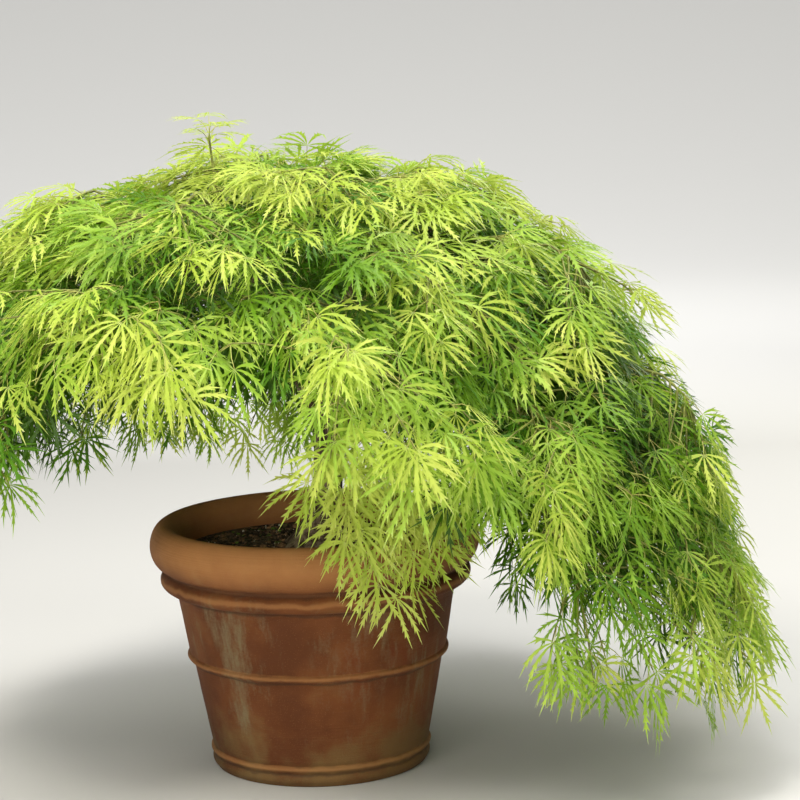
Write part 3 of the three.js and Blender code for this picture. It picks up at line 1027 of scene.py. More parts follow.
@dataclass(frozen=True)
class Mass:
    """Where one mass of foliage hangs."""

    name: str
    tier: int
    length: float
    last: bool
    border: float
    pull: float
    centre: Vector
    entry: Vector
    heading: Vector


@dataclass(frozen=True)
class Tier:
    """A row of masses round the dome, at a distance from its top."""

    name: str
    start: float
    count: int
    first: float


@dataclass
class Limb:
    """The trunk or a bough: its line as the solids have it, and its own smooth path."""

    name: str
    tier: int
    line: list[Vector]
    path: list[Vector]
    radii: list[float]
    forks: int = 0


@dataclass(frozen=True)
class Habit:
    """How the plant grows, in millimetres and degrees, the same as its solids do."""

    crown: Crown = Crown()
    tiers: tuple[Tier, ...] = (
        Tier("crown", 55, 3, 25),
        Tier("shoulder", 250, 7, -20),
        Tier("skirt", 500, 10, 20),
        Tier("hem", 735, 12, -50),
    )
    shortest_mass: float = 105.0
    border: float = 30.0
    loose_border: float = 80.0
    inset: float = 52.0
    base_radii: tuple[float, ...] = (9.5, 9.5, 7.0, 5.5)
    tip_radius: float = 3.6
    rises: tuple[float, ...] = (0.2, 0.2, 0.12, 0.12)
    on_trunk: tuple[float, ...] = (0.4, 0.68, 0.47, 0.75, 0.54, 0.82, 0.61)
    straight: float = 12.0
    bough_steps: int = 5
    bough_samples: int = 201
    least_rings: int = 12
    shortest_stem: float = 40.0
    depth: float = 16.0
    sag: float = 0.1
    wander: float = 0.12
    correction: Pair = (60.0, 0.7)
    lean_out: float = 0.35
    crown_spring: Pair = (0.98, 0.1)
    fork_spring: Pair = (0.8, 0.17)
    handles: Pair = (0.35, 0.3)
    leaf_room: float = 0.8
    solid_leaf: float = 132.0
    spacing: float = 78.0
    trunk_radius: float = 25.0
    trunk_tip: float = 13.0
    trunk_height: float = 262.0
    trunk_steps: int = 8
    trunk_rings: int = 96
    lean: Point = (34.0, 6.0, 0.0)
    sway: float = 9.0
    soil_level: float = 320.0
    loose: tuple[tuple[str, int, Point, Point, float], ...] = (
        ("sprig", 1, (-120.0, -20.0, 815.0), (-0.12, -0.05, 1.0), 190.0),
        ("cascade", 2, (105.0, -290.0, 560.0), (0.0, -0.2, -1.0), 205.0),
    )

    def masses(self) -> list[Mass]:
        """The masses of foliage, tier by tier and then the loose ones, as their solids are grown."""
        hung = [mass for tier in range(len(self.tiers)) for mass in self._tier(tier)]
        return [*hung, *(self._loose(*sizes) for sizes in self.loose)]

    def _tier(self, tier: int) -> list[Mass]:
        """Sets out the masses of one tier.

        Args:
            tier: Its number from the top.

        Returns:
            Those of its masses that are long enough.
        """
        row, made = self.tiers[tier], []
        for i in range(row.count):
            azimuth = math.radians(row.first) + 2 * math.pi * i / row.count
            length = self.crown.meridian(azimuth)[1][-1]
            if length - row.start < self.shortest_mass:
                continue
            after = self.tiers[tier + 1].start if tier + 1 < len(self.tiers) else length
            last = length - after < self.shortest_mass
            lower = length if last else after
            made.append(self._dome(f"{row.name}_{len(made) + 1}", tier, azimuth, (row.start, lower), last))
        return made

    def _dome(self, name: str, tier: int, azimuth: float, span: Pair, last: bool) -> Mass:
        """Sets out a mass that hangs on the dome.

        Args:
            name: Its name.
            tier: Its tier's number.
            azimuth: In radians.
            span: How far down the dome it starts and ends.
            last: Whether the hem is its lower end.

        Returns:
            The mass.
        """
        upper, lower = span
        entry = self.crown.down(azimuth, upper)
        centre = self.crown.down(azimuth, (upper + lower) / 2)
        away = self.crown.under(entry)[1]
        return Mass(
            name,
            tier,
            lower - upper,
            last,
            self.border,
            1.0,
            centre - self.crown.under(centre)[1] * self.depth,
            entry - away * self.inset,
            (self.crown.downhill(away) + away * self.lean_out).normalized(),
        )

    def _loose(self, name: str, tier: int, entry: Point, heading: Point, length: float) -> Mass:
        """A mass of a length that leaves the dome at a point, along its own heading."""
        start, way = Vector(entry), Vector(heading).normalized()
        return Mass(name, tier, length, True, self.loose_border, 0.0, start + way * (length / 2), start, way)

    def trunk(self) -> Limb:
        """Draws the trunk, from the soil to its fork.

        Returns:
            The trunk.
        """
        coarse = [self._trunk_at(i / self.trunk_steps) for i in range(self.trunk_steps + 1)]
        shares = [i / self.trunk_rings for i in range(self.trunk_rings + 1)]
        radii = [lerp(self.trunk_radius, self.trunk_tip, share) for share in shares]
        return Limb("trunk", -1, coarse, [self._trunk_at(share) for share in shares], radii)

    def _trunk_at(self, share: float) -> Vector:
        """Finds the middle of the trunk at a share of its height.

        Args:
            share: From 0 at the soil to 1 at the fork.

        Returns:
            The point.
        """
        foot = Vector((0.0, 0.0, self.soil_level + GAP))
        sway = Vector((math.sin(share * 5), math.sin(share * 7), 0.0)) * self.sway
        return foot + Vector(self.lean) * share + UP * self.trunk_height * share + sway

    def bough(self, start: Vector, mass: Mass) -> Limb:
        """A bough that arches from its start to a mass.

        Args:
            start: The point on an older limb.
            mass: The mass that it carries.

        Returns:
            The bough.
        """
        end = mass.entry - mass.heading * self.straight
        span = (end - start).length
        near, far = self.handles
        first = start.lerp(end, near) + UP * self.rises[mass.tier] * span
        second = end - mass.heading * far * span
        samples = geometry.interpolate_bezier(start, first, second, end, self.bough_samples)
        run = runs_of(samples)
        steps = max(int(run[-1] / RING_STEP), self.least_rings)
        coarse = [*self._spaced(samples, run, self.bough_steps), mass.entry]
        fine = [*self._spaced(samples, run, steps), mass.entry]
        last = self.bough_steps / (self.bough_steps + 1)
        base = self.base_radii[mass.tier]
        radii = [lerp(base, self.tip_radius, last * i / steps) for i in range(steps + 1)]
        return Limb(f"bough_{mass.name}", mass.tier, coarse, fine, [*radii, self.tip_radius])

    @staticmethod
    def _spaced(samples: Sequence[Vector], run: Sequence[float], steps: int) -> list[Vector]:
        """Finds points at equal distances along a curve.

        Args:
            samples: Points of the curve.
            run: The distance at each of them.
            steps: How many equal steps there are.

        Returns:
            One point more than the steps.
        """
        wanted = [run[-1] * i / steps for i in range(steps + 1)]
        places = np.interp(wanted, run, np.arange(len(run)))
        return [along(samples, place / (len(samples) - 1)) for place in places]

    def limbs(self, masses: Sequence[Mass]) -> list[Limb]:
        """Draws the trunk and one bough for each mass, in the order that they spring.

        Args:
            masses: The masses.

        Returns:
            The limbs, the trunk first.
        """
        made = [self.trunk()]
        for mass in masses:
            made.append(self.bough(self._spring(mass, made), mass))
        return made

    def _spring(self, mass: Mass, limbs: Sequence[Limb]) -> Vector:
        """Finds the point on an older limb that a mass's bough springs from.

        Args:
            mass: The mass.
            limbs: The limbs drawn so far, of which the nearest may count one more fork.

        Returns:
            The point.
        """
        peers = sum(limb.tier == mass.tier for limb in limbs)
        if mass.tier == 0:
            return along(limbs[0].line, self.crown_spring[0] - self.crown_spring[1] * peers)
        if mass.tier == 1 and mass.pull:
            return along(limbs[0].line, self.on_trunk[peers])
        older = [limb for limb in limbs if limb.tier == mass.tier - 1]
        nearest = min(older, key=lambda limb: (limb.line[-1] - mass.entry).length)
        nearest.forks += 1
        return along(nearest.line, self.fork_spring[0] - self.fork_spring[1] * nearest.forks)

    def twig(
        self,
        start: Vector,
        heading: Vector,
        length: float,
        steps: int,
        pull: float,
        random: Stream,
        depth: float,
    ) -> tuple[list[Vector], Vector]:
        """Grows a twig in equal steps that keeps its depth under the dome and sags.

        Args:
            start: Its foot.
            heading: The way that it sets out.
            length: How long it is.
            steps: How many steps it takes.
            pull: How strongly it keeps to its depth.
            random: The numbers that it wanders by.
            depth: How far under the dome it keeps.

        Returns:
            Its line and its last heading.
        """
        line, way = [start], heading.copy()
        span, most = self.correction
        for _ in range(steps):
            under, away = self.crown.under(line[-1])
            wander = Vector((random.next() - 0.5, random.next() - 0.5, random.next() - 0.5))
            back = away * pull * clamp((under - depth) / span, -most, most)
            way = way + back - UP * self.sag + wander * self.wander
            way.normalize()
            line.append(line[-1] + way * (length / steps))
        return line, way

    def stem(self, mass: Mass, random: Stream) -> tuple[list[Vector], Vector]:
        """Grows the stem that a mass's solid has too.

        Args:
            mass: The mass.
            random: The numbers that it wanders by.

        Returns:
            Its line and its last heading.
        """
        foot = mass.entry + mass.heading * GAP
        start = foot + mass.heading * self.straight
        length = max(mass.length - self.solid_leaf * self.leaf_room, self.shortest_stem)
        pairs = max(int(length / self.spacing + 0.5), 1)
        line, heading = self.twig(start, mass.heading, length, pairs + 1, mass.pull, random, self.depth)
        return [foot, *line], heading


# Trunk and boughs


@dataclass(frozen=True)
class Wood:
    """The barked trunk and boughs, in millimetres."""

    flare: float = 19.0
    flare_height: float = 60.0
    roots: int = 5
    trunk_sides: int = 56
    bough_sides: int = 14
    root_ridge: float = 0.45
    swelling: float = 0.8
    twist: float = 0.004
    grain: Pair = (3.0, 0.012)
    furrow: Point = (1.6, 3.2, 0.6)
    bulge: Pair = (0.7, 2.4)
    collar: Pair = (0.55, 16.0)
    knuckle: Pair = (0.16, 11.5)
    lump: Pair = (0.05, 0.9)
    plain_rings: int = 4

    def build(self, limbs: Sequence[Limb]) -> None:
        """Makes the trunk and the boughs.

        Args:
            limbs: The limbs, the trunk first.
        """
        trunk, *boughs = limbs
        bm = bmesh.new()
        self.sweep(bm, trunk, self.trunk_sides, self.trunk_radius)
        belongs(made_of(bm, "barked_trunk", Bark().material()), ["trunk"])
        bm = bmesh.new()
        for bough in boughs:
            self.sweep(bm, bough, self.bough_sides, self.bough_radius)
        finish = Bark("bough_bark", "#8a7860", "#54432f", "#77743f", (70.0, 70.0, 70.0), 0.0008)
        belongs(made_of(bm, "barked_boughs", finish.material()), [bough.name for bough in boughs])

    def trunk_radius(self, limb: Limb, i: int, angle: float) -> float:
        """Works out the trunk's radius, with its root ridges, furrows and bulges.

        Args:
            limb: The trunk.
            i: The number of the ring.
            angle: Where on the ring, in radians.

        Returns:
            The radius there.
        """
        centre, radius = limb.path[i], limb.radii[i]
        height = centre.z - limb.path[0].z
        spread = self.flare * max(1 - height / self.flare_height, 0.0) ** 2
        twist = angle + height * self.twist
        ridge = self.root_ridge * math.cos(self.roots * angle)
        around, upward = self.grain
        place = Vector((math.cos(twist) * around, math.sin(twist) * around, height * upward))
        narrow, deep, share = self.furrow
        furrow = abs(noise.noise(Vector((place.x * narrow, place.y * narrow, place.z)))) * deep
        bulge = noise.noise(place * self.bulge[0]) * self.bulge[1]
        return radius + spread * (1 + ridge) + bulge - furrow * share + self.swelling

    def bough_radius(self, limb: Limb, i: int, angle: float) -> float:
        """Works out a bough's radius, with a collar where it springs and then knuckles.

        Args:
            limb: The bough.
            i: The number of the ring.
            angle: Where on the ring, in radians.

        Returns:
            The radius there.
        """
        run = i * RING_STEP
        radius = limb.radii[i]
        collar = 1.0 + self.collar[0] * math.exp(-run / self.collar[1])
        wave = math.sin(run / self.knuckle[1] + len(limb.name))
        knuckle = 1.0 + self.knuckle[0] * max(wave, 0.0) ** 6
        scale, size = self.lump
        place = limb.path[i] * scale + Vector((math.cos(angle), math.sin(angle), 0.0)) * size
        ease = smooth((len(limb.path) - 1 - i) / self.plain_rings)
        return radius * (1 + (collar * knuckle - 1) * ease) + noise.noise(place) * size * ease

    def sweep(
        self, bm: bmesh.types.BMesh, limb: Limb, sides: int, radius_at: Callable[[Limb, int, float], float]
    ) -> None:
        """Draws a ring along a limb's path, one step at a time.

        Args:
            bm: The bmesh that it is made in.
            limb: The limb.
            sides: How many corners the ring has.
            radius_at: Gives the radius of a limb's ring at an angle.
        """
        made = bmesh.ops.create_circle(bm, cap_ends=False, segments=sides, radius=1.0)
        ring = list(made["verts"])
        edges = list(dict.fromkeys(edge for vert in ring for edge in vert.link_edges))
        bmesh.ops.contextual_create(bm, geom=edges)
        level = limb.name == "trunk"
        across = Vector((1.0, 0.0, 0.0))
        for i, centre in enumerate(limb.path):
            if i:
                made = bmesh.ops.extrude_edge_only(bm, edges=edges)
                fresh = [item for item in made["geom"] if isinstance(item, bmesh.types.BMVert)]
                edges = [
                    item
                    for item in made["geom"]
                    if isinstance(item, bmesh.types.BMEdge) and all(vert in fresh for vert in item.verts)
                ]
                ring = fresh
            after = limb.path[min(i + 1, len(limb.path) - 1)]
            heading = UP if level else (after - limb.path[max(i - 1, 0)]).normalized()
            across = (across - heading * across.dot(heading)).normalized()
            other = heading.cross(across)
            if i == 0:
                angles = {vert: math.atan2(vert.co.y, vert.co.x) for vert in ring}
                order = sorted(ring, key=angles.get)
            else:
                order = self.following(order, ring)
            for k, vert in enumerate(order):
                angle = -math.pi + 2 * math.pi * k / sides
                out = radius_at(limb, i, angle)
                way = across * math.cos(angle) + other * math.sin(angle)
                vert.co = (centre + way * out) * MM
        bmesh.ops.contextual_create(bm, geom=edges)

    @staticmethod
    def following(
        before: Sequence[bmesh.types.BMVert], ring: Sequence[bmesh.types.BMVert]
    ) -> list[bmesh.types.BMVert]:
        """Puts a new ring's corners in the order of the ring that it was drawn from.

        Args:
            before: The corners of the ring before, in order.
            ring: The corners of the new ring.

        Returns:
            The new corners, in order.
        """
        fresh = set(ring)
        ends = [[edge.other_vert(vert) for edge in vert.link_edges] for vert in before]
        return [next(end for end in some if end in fresh) for some in ends]


# Leaves


@dataclass(frozen=True)
class Lobe:
    """One long lobe of a leaf, cut into slender teeth, as shares of the leaf's length."""

    angle: float
    length: float
    teeth: int
    bend: float
    width: float


class Outline:
    """A leaf's corners and faces while it is drawn, from its heel at the first corner."""

    def __init__(self) -> None:
        """Starts with the heel alone."""
        self.corners: list[Point] = [(0.0, 0.0, 0.0)]
        self.chart: list[Pair] = [(0.0, 0.0)]
        self.faces: list[Face] = []

    def corner(self, lobe: Lobe, share: float, off: float) -> int:
        """Adds a corner beside a lobe's midrib.

        Args:
            lobe: The lobe.
            share: How far along the midrib it is.
            off: How far to its left, as a share of the leaf's length.

        Returns:
            The corner's number.
        """
        turn = math.radians(lobe.angle + lobe.bend * share)
        reach = share * lobe.length
        x = reach * math.cos(turn) - off * math.sin(turn)
        y = reach * math.sin(turn) + off * math.cos(turn)
        self.corners.append((x, y, abs(off) * 0.35))
        self.chart.append((reach, min(abs(off) / lobe.width, 1.0)))
        return len(self.corners) - 1

    def pattern(self) -> Pattern:
        """The finished leaf."""
        return Pattern(np.array(self.corners), self.faces, np.array(self.chart))


@dataclass(frozen=True)
class LeafShape:
    """Leaf outlines that the plant's leaves are drawn from."""

    seed: int = 7
    kinds: int = 8
    plain_kinds: int = 4
    angles: tuple[float, ...] = (0.0, 29.0, -29.0, 60.0, -60.0, 96.0, -96.0)
    lengths: tuple[float, ...] = (1.0, 0.95, 0.95, 0.8, 0.8, 0.52, 0.52)
    teeth: tuple[int, ...] = (6, 5, 5, 5, 5, 3, 3)
    plain_teeth: tuple[int, ...] = (4, 3, 3, 3, 3, 2, 2)
    foot: float = 0.009
    body: float = 0.022
    width: float = 0.066
    stalked: float = 0.14
    toothed: float = 0.84
    swell: Pair = (0.16, 0.72)
    notch: Pair = (0.35, 1.1)
    tooth_reach: Pair = (1.25, 1.6)
    tooth_width: Pair = (0.75, 1.2)
    angle_play: float = 8.0
    bend_play: float = 16.0
    bend_back: float = 0.12
    width_play: Pair = (0.85, 1.15)
    length_play: Pair = (0.86, 1.08)

    def patterns(self) -> list[Pattern]:
        """Draws every kind of leaf.

        Returns:
            The fine kinds, and then the plainer ones of the inside.
        """
        random = Stream(self.seed)
        fine = [self.pattern(self.teeth, random) for _ in range(self.kinds)]
        return [*fine, *(self.pattern(self.plain_teeth, random) for _ in range(self.plain_kinds))]

    def pattern(self, counts: Sequence[int], random: Stream) -> Pattern:
        """A leaf of seven lobes that part at the heel.

        Args:
            counts: The teeth on each side of each lobe.
            random: The numbers that it varies by.

        Returns:
            The leaf.
        """
        outline = Outline()
        for angle, length, teeth in zip(self.angles, self.lengths, counts):
            turn = angle + random.between(-self.angle_play, self.angle_play)
            bend = random.between(-self.bend_play, self.bend_play) - angle * self.bend_back
            width = self.width * random.between(*self.width_play)
            reach = length * random.between(*self.length_play)
            self.draw(Lobe(turn, reach, teeth, bend, width), outline, random)
        return outline.pattern()

    def draw(self, lobe: Lobe, outline: Outline, random: Stream) -> None:
        """Adds a lobe: a bare foot, sections with a forward tooth on each side, and a point.

        Args:
            lobe: Its sizes.
            outline: The leaf that it is drawn in.
            random: The numbers that its teeth vary by.
        """
        pitch = (self.toothed - self.stalked) / lobe.teeth
        marks = [self.stalked + pitch * i for i in range(lobe.teeth)]
        low, span = self.swell
        swells = [math.sin(math.pi * (low + span * i / lobe.teeth)) for i in range(lobe.teeth)]
        halves = [lerp(self.foot, self.body, swell) for swell in swells]
        edges = []
        for mark, half in zip(marks, halves):
            edges.append((outline.corner(lobe, mark, half), outline.corner(lobe, mark, -half)))
        outline.faces.append((0, edges[0][1], edges[0][0]))
        for i, mark in enumerate(marks[:-1]):
            sides = []
            for hand in (1, -1):
                after, wider = self.notch
                notch = outline.corner(lobe, mark + after * pitch, hand * halves[i] * wider)
                reach = mark + pitch * random.between(*self.tooth_reach)
                out = hand * lobe.width * swells[i] * random.between(*self.tooth_width)
                sides.append((notch, outline.corner(lobe, reach, out)))
            (left, left_tooth), (right, right_tooth) = sides
            low, high = edges[i], edges[i + 1]
            outline.faces.append((low[1], right, right_tooth, high[1], high[0], left_tooth, left, low[0]))
        tip = outline.corner(lobe, 1.0, 0.0)
        outline.faces.append((edges[-1][1], tip, edges[-1][0]))


@dataclass(frozen=True)
class Leaf:
    """One leaf: where its heel is, how it lies, and which outline it has."""

    centre: Vector
    forward: Vector
    face: Vector
    length: float
    droop: float
    kind: int


@dataclass(frozen=True)
class Batch:
    """Leaves of one colour that make one piece."""

    leaves: Sequence[Leaf]

    def piece(
        self, name: str, patterns: Sequence[Pattern], material: bpy.types.Material
    ) -> bpy.types.Object:
        """Joins the leaves into one piece.

        Args:
            name: Its name.
            patterns: The kinds of leaf.
            material: Its finish.

        Returns:
            The piece.
        """
        centres = np.array([leaf.centre[:] for leaf in self.leaves])
        forwards = np.array([leaf.forward[:] for leaf in self.leaves])
        faces = np.array([leaf.face[:] for leaf in self.leaves])
        lengths = np.array([leaf.length for leaf in self.leaves])
        droops = np.array([leaf.droop for leaf in self.leaves])
        kinds = np.array([leaf.kind for leaf in self.leaves])
        heap = Heap()
        for kind, pattern in enumerate(patterns):
            chosen = kinds == kind
            if not chosen.any():
                continue
            forward, face = forwards[chosen][:, None], faces[chosen][:, None]
            x, y, z = (pattern.corners[None, :, axis, None] for axis in range(3))
            flat = x * forward + y * np.cross(face, forward)
            bent = self.bend(flat, droops[chosen][:, None, None])
            points = centres[chosen][:, None] + lengths[chosen][:, None, None] * (bent + z * face)
            heap.add(points * MM, pattern.faces, pattern.chart)
        return heap.piece(name, material, False)

    @staticmethod
    def bend(flat: np.ndarray, droop: np.ndarray) -> np.ndarray:
        """Bends flat leaves down in arcs, the more the more level they lie.

        Args:
            flat: Each corner's offset from its leaf's heel.
            droop: The angle that a level lobe turns down by, in radians.

        Returns:
            The bent offsets.
        """
        reach = np.maximum(np.linalg.norm(flat, axis=2, keepdims=True), 1e-6)
        rise = np.arcsin(np.clip(flat[..., 2:] / reach, -1.0, 1.0))
        level = flat * (1.0, 1.0, 0.0)
        level /= np.maximum(np.linalg.norm(level, axis=2, keepdims=True), 1e-6)
        curl = np.maximum(droop * (1.0 + np.sin(rise)), 1e-3)
        last = rise - curl * reach
        across = (np.sin(rise) - np.sin(last)) / curl
        up = (np.cos(last) - np.cos(rise)) / curl
        return level * across + np.array((0.0, 0.0, 1.0)) * up


@dataclass(frozen=True)
class Layer:
    """A layer of sprays under the dome, and how far over its hem it ends, in millimetres."""

    pitch: float
    depth: float
    relief: float
    pairs: int
    lift: float


@dataclass(frozen=True)
class Growth:
    """How a mass's stem is carried on to side twigs, sprays and leaves, in millimetres."""

    layers: tuple[Layer, ...] = (
        Layer(50.0, 8.0, 46.0, 2, 0.0),
        Layer(76.0, 68.0, 30.0, 2, 110.0),
        Layer(98.0, 126.0, 24.0, 2, 190.0),
    )
    half_width: float = 250.0
    reach_back: float = 35.0
    reach_on: float = 30.0
    hem_reach_on: float = 66.0
    flare: float = 46.0
    terrace: float = 34.0
    inset: float = 22.0
    overhang: float = 92.0
    inset_out: float = 520.0
    inset_up: Pair = (380.0, 150.0)
    partings: tuple[Point, ...] = ((-134.0, -94.0, 620.0), (-122.0, -62.0, 430.0))
    border: float = 22.0
    least_run: float = 5.0
    least_out: float = 60.0
    uphill: Pair = (62.0, 8.0)
    arch: float = 9.0
    landing: float = 34.0
    side_length: Pair = (138.0, 66.0)
    side_spread: float = 54.0
    end_twigs: tuple[Pair, ...] = ((-30.0, 84.0), (0.0, 108.0), (30.0, 84.0))
    node_spacing: float = 24.0
    leaf_spacing: float = 38.0
    leaf_length: Pair = (53.0, 91.0)
    stalk: Pair = (14.0, 40.0)
    droop: Pair = (0.4, 1.0)
    tilt: float = 46.0
    whorls: tuple[float, ...] = (0.1, 0.4, 0.7)
    sprig_tip: float = 10.0
    sprig_leaf: float = 0.72
    clumps: tuple[Pair, ...] = ((0.014, 1.0), (0.03, 0.5))
    row_play: Pair = (-0.3, 0.7)
    column_play: float = 0.4
    leaf_turn: Pair = (38.0, 80.0)
    end_turn: float = 15.0
    stem_gauge: Gauge = (3.5, 1.5, 6)
    tip_gauge: Gauge = (2.0, 1.2, 6)
    end_gauge: Gauge = (1.8, 0.9, 4)
    twig_gauge: Gauge = (1.7, 0.9, 4)
    side_gauge: Gauge = (1.5, 0.9, 4)
    stalk_gauge: Gauge = (0.75, 0.55, 3)
    first_seed: int = 100
    depth_play: float = 0.4
    side_share: float = 0.6
    handle: float = 0.4
    fall_pull: Pair = (0.6, 0.7)
    face_up: float = 0.5
    stem_points: int = 12
    bough_share: float = 0.6
    bough_end: int = 7
    twig_steps: int = 6
    spray_steps: int = 3
    forward_play: Pair = (-0.2, 0.4)
    side_play: Pair = (-0.1, 0.8)
    side_turn: float = 12.0
    length_play: Pair = (0.75, 1.15)
    crest_turns: Point = (20.0, 40.0, 14.0)
    crest_rise: Pair = (0.1, 0.08)
    stalk_rise: Pair = (0.1, 0.6)
    stalk_bend: Pair = (0.55, 2.5)
    batch: int = 1100


@dataclass(frozen=True)
class Light:
    """How much light a spray stands in, from which its colour is dealt as painted light and shade, in shares
    and millimetres.
    """

    open: float = 0.9
    deep: Pair = (76.0, 0.95)
    low: Point = (780.0, 240.0, 0.32)
    chance: float = 0.3
    patches: Pair = (0.011, 0.25)
    loose: float = -30.0
    levels: tuple[float, ...] = (0.9, 0.68, 0.44, 0.2)

    def colour(self, under: float, point: Vector, hung: bool, random: Stream) -> Spray:
        """Deals a colour of painted light and shade: gold high and outside, deep green low and inside.

        Args:
            under: How far under the dome the spray lies.
            point: Where it is.
            hung: Whether it belongs to a mass that hangs on the dome.
            random: The numbers that the light varies by.

        Returns:
            The colour.
        """
        # Painted shade: less light the deeper under the dome and the lower down a spray hangs.
        light = self.open - clamp(under / self.deep[0], -0.3, 1.0) * self.deep[1]
        top, span, loss = self.low
        light -= loss * clamp((top - point.z) / span, 0.0, 1.0) if hung else 0.0
        scale, strength = self.patches
        light += random.between(-self.chance, self.chance) + noise.noise(point * scale) * strength
        return next((spray for spray, level in zip(Spray, self.levels) if light > level), Spray.DEEP)


class Foliage:
    """The masses of foliage: stems, side twigs, leaf stalks and leaves."""

    def __init__(self, habit: Habit, masses: Sequence[Mass], limbs: Sequence[Limb], growth: Growth) -> None:
        """Takes the plant that the foliage grows on.

        Args:
            habit: How the plant grows.
            masses: Its masses.
            limbs: Its trunk and boughs.
            growth: How the masses are carried on.
        """
        self.habit = habit
        self.crown = habit.crown
        self.masses = masses
        self.limbs = {limb.name: limb for limb in limbs}
        self.growth = growth
        self.light = Light()
        self.shapes = LeafShape()
        self.twigs = Heap()
        self.stalks = Heap()
        self.leaves: dict[Spray, list[Leaf]] = {spray: [] for spray in Spray}

    def azimuth(self, point: Vector) -> float:
        """The way from the dome's axis to a point, in radians."""
        flat = point - Vector(self.crown.axis)
        return math.atan2(flat.y, flat.x)

    def keeps(self, point: Vector, mass: Mass, border: float, lift: float = 0.0) -> bool:
        """Tells whether a point lies in a mass's own space, above the hem and clear of the pot's front.

        Args:
            point: The point.
            mass: The mass.
            border: How far past the middle between two masses it may lie.
            lift: How much higher than the hem's lowest leaves it must lie.

        Returns:
            Whether it does.
        """
        azimuth = self.azimuth(point)
        if mass.pull and point.z < self.crown.shape(azimuth)[1] - self.growth.overhang + lift:
            return False
        for first, last, floor in self.growth.partings:
            if mass.pull and point.z < floor and first < math.degrees(azimuth) < last:
                return False
        for other in self.masses:
            if other is mass:
                continue
            across = other.centre - mass.centre
            if (point - mass.centre).dot(across.normalized()) > across.length / 2 + border:
                return False
        return True

    def wood(self, heap: Heap, line: Sequence[Vector], gauge: Gauge) -> None:
        """Adds a tapering twig or stalk.

        Args:
            heap: Where it is added.
            line: Its middle.
            gauge: Its radius at the foot and at the tip, and how many sides it has.
        """
        first, last, sides = gauge
        radii = [lerp(first, last, i / (len(line) - 1)) for i in range(len(line))]
        points, faces = tube(line, radii, sides)
        heap.add(points[None], faces, np.zeros((len(points), 2)))

    def grow(self) -> None:
        """Grows every mass."""
        for index, mass in enumerate(self.masses):
            random = Stream(self.growth.first_seed + index)
            line, heading = self.habit.stem(mass, random)
            while len(line) > 3 and not self.keeps(line[-1], mass, mass.border):
                line.pop()
            self.wood(self.twigs, line, self.growth.stem_gauge)
            if mass.pull:
                last = self.limbs[f"bough_{mass.name}"].path[-self.growth.bough_end :]
                self.spray(mass, [*last, *line[1:]], heading, random)
                self.cover(mass, line, random)
            elif mass.heading.z > 0:
                self.crest(mass, line, random)
            else:
                self.dress(mass, line, heading, random)

    def cover(self, mass: Mass, stem: Sequence[Vector], random: Stream) -> None:
        """Sends a twig and a spray of leaves to each even step of a mass's part of the dome.

        Args:
            mass: The mass.
            stem: Its stem.
            random: The numbers that the steps vary by.
        """
        bough = self.limbs[f"bough_{mass.name}"].path
        points = self.growth.stem_points
        roots = [
            *bough[int(len(bough) * self.growth.bough_share) :],
            *(along(stem, i / points) for i in range(points + 1)),
        ]
        middle = self.azimuth(mass.centre)
        top = self.habit.tiers[mass.tier].start - self.growth.reach_back
        reach_on = self.growth.hem_reach_on if mass.last else self.growth.reach_on
        length = mass.length + self.growth.reach_back + reach_on
        for layer in self.growth.layers:
            columns = int(self.growth.half_width / layer.pitch)
            for row in range(int(length / layer.pitch) + 1):
                for column in range(-columns, columns + 1):
                    run = top + (row + random.between(*self.growth.row_play)) * layer.pitch
                    play = random.between(-self.growth.column_play, self.growth.column_play)
                    aside = (column + (row % 2) * 0.5 + play) * layer.pitch
                    front = max(-math.sin(middle), 0.0)
                    share = smooth((run - top) / length)
                    flare = self.growth.terrace * (share - 0.5)
                    flare += front * self.growth.flare * share if mass.last else 0.0
                    target = self.target(middle, run, aside, layer, random, flare)
                    if self.keeps(target, mass, self.growth.border, layer.lift):
                        self.reach(mass, roots, target, layer, random)

    def target(
        self, middle: float, run: float, aside: float, layer: Layer, random: Stream, flare: float
    ) -> Vector:
        """Finds the point that a spray ends near.

        Args:
            middle: The azimuth of the mass.
            run: How far down the dome it lies.
            aside: How far round the dome from the middle.
            layer: The layer that it is in.
            random: The numbers that its depth varies by.
            flare: How far out of the dome it is set.

        Returns:
            The point.
        """
        run = max(run, self.growth.least_run)
        level = self.crown.down(middle, run)
        out = max((level - Vector(self.crown.axis)).to_2d().length, self.growth.least_out)
        point = self.crown.down(middle + aside / out, run)
        clump = sum(weight * noise.noise(point * scale) for scale, weight in self.growth.clumps)
        play = random.between(-self.growth.depth_play, self.growth.depth_play)
        depth = layer.depth - flare + layer.relief * (clump + play)
        side = abs(point.x - self.crown.axis[0]) / self.growth.inset_out
        low, span = self.growth.inset_up
        depth += self.growth.inset * min(side, 1.0) * smooth((point.z - low) / span)
        return point - self.crown.under(point)[1] * depth

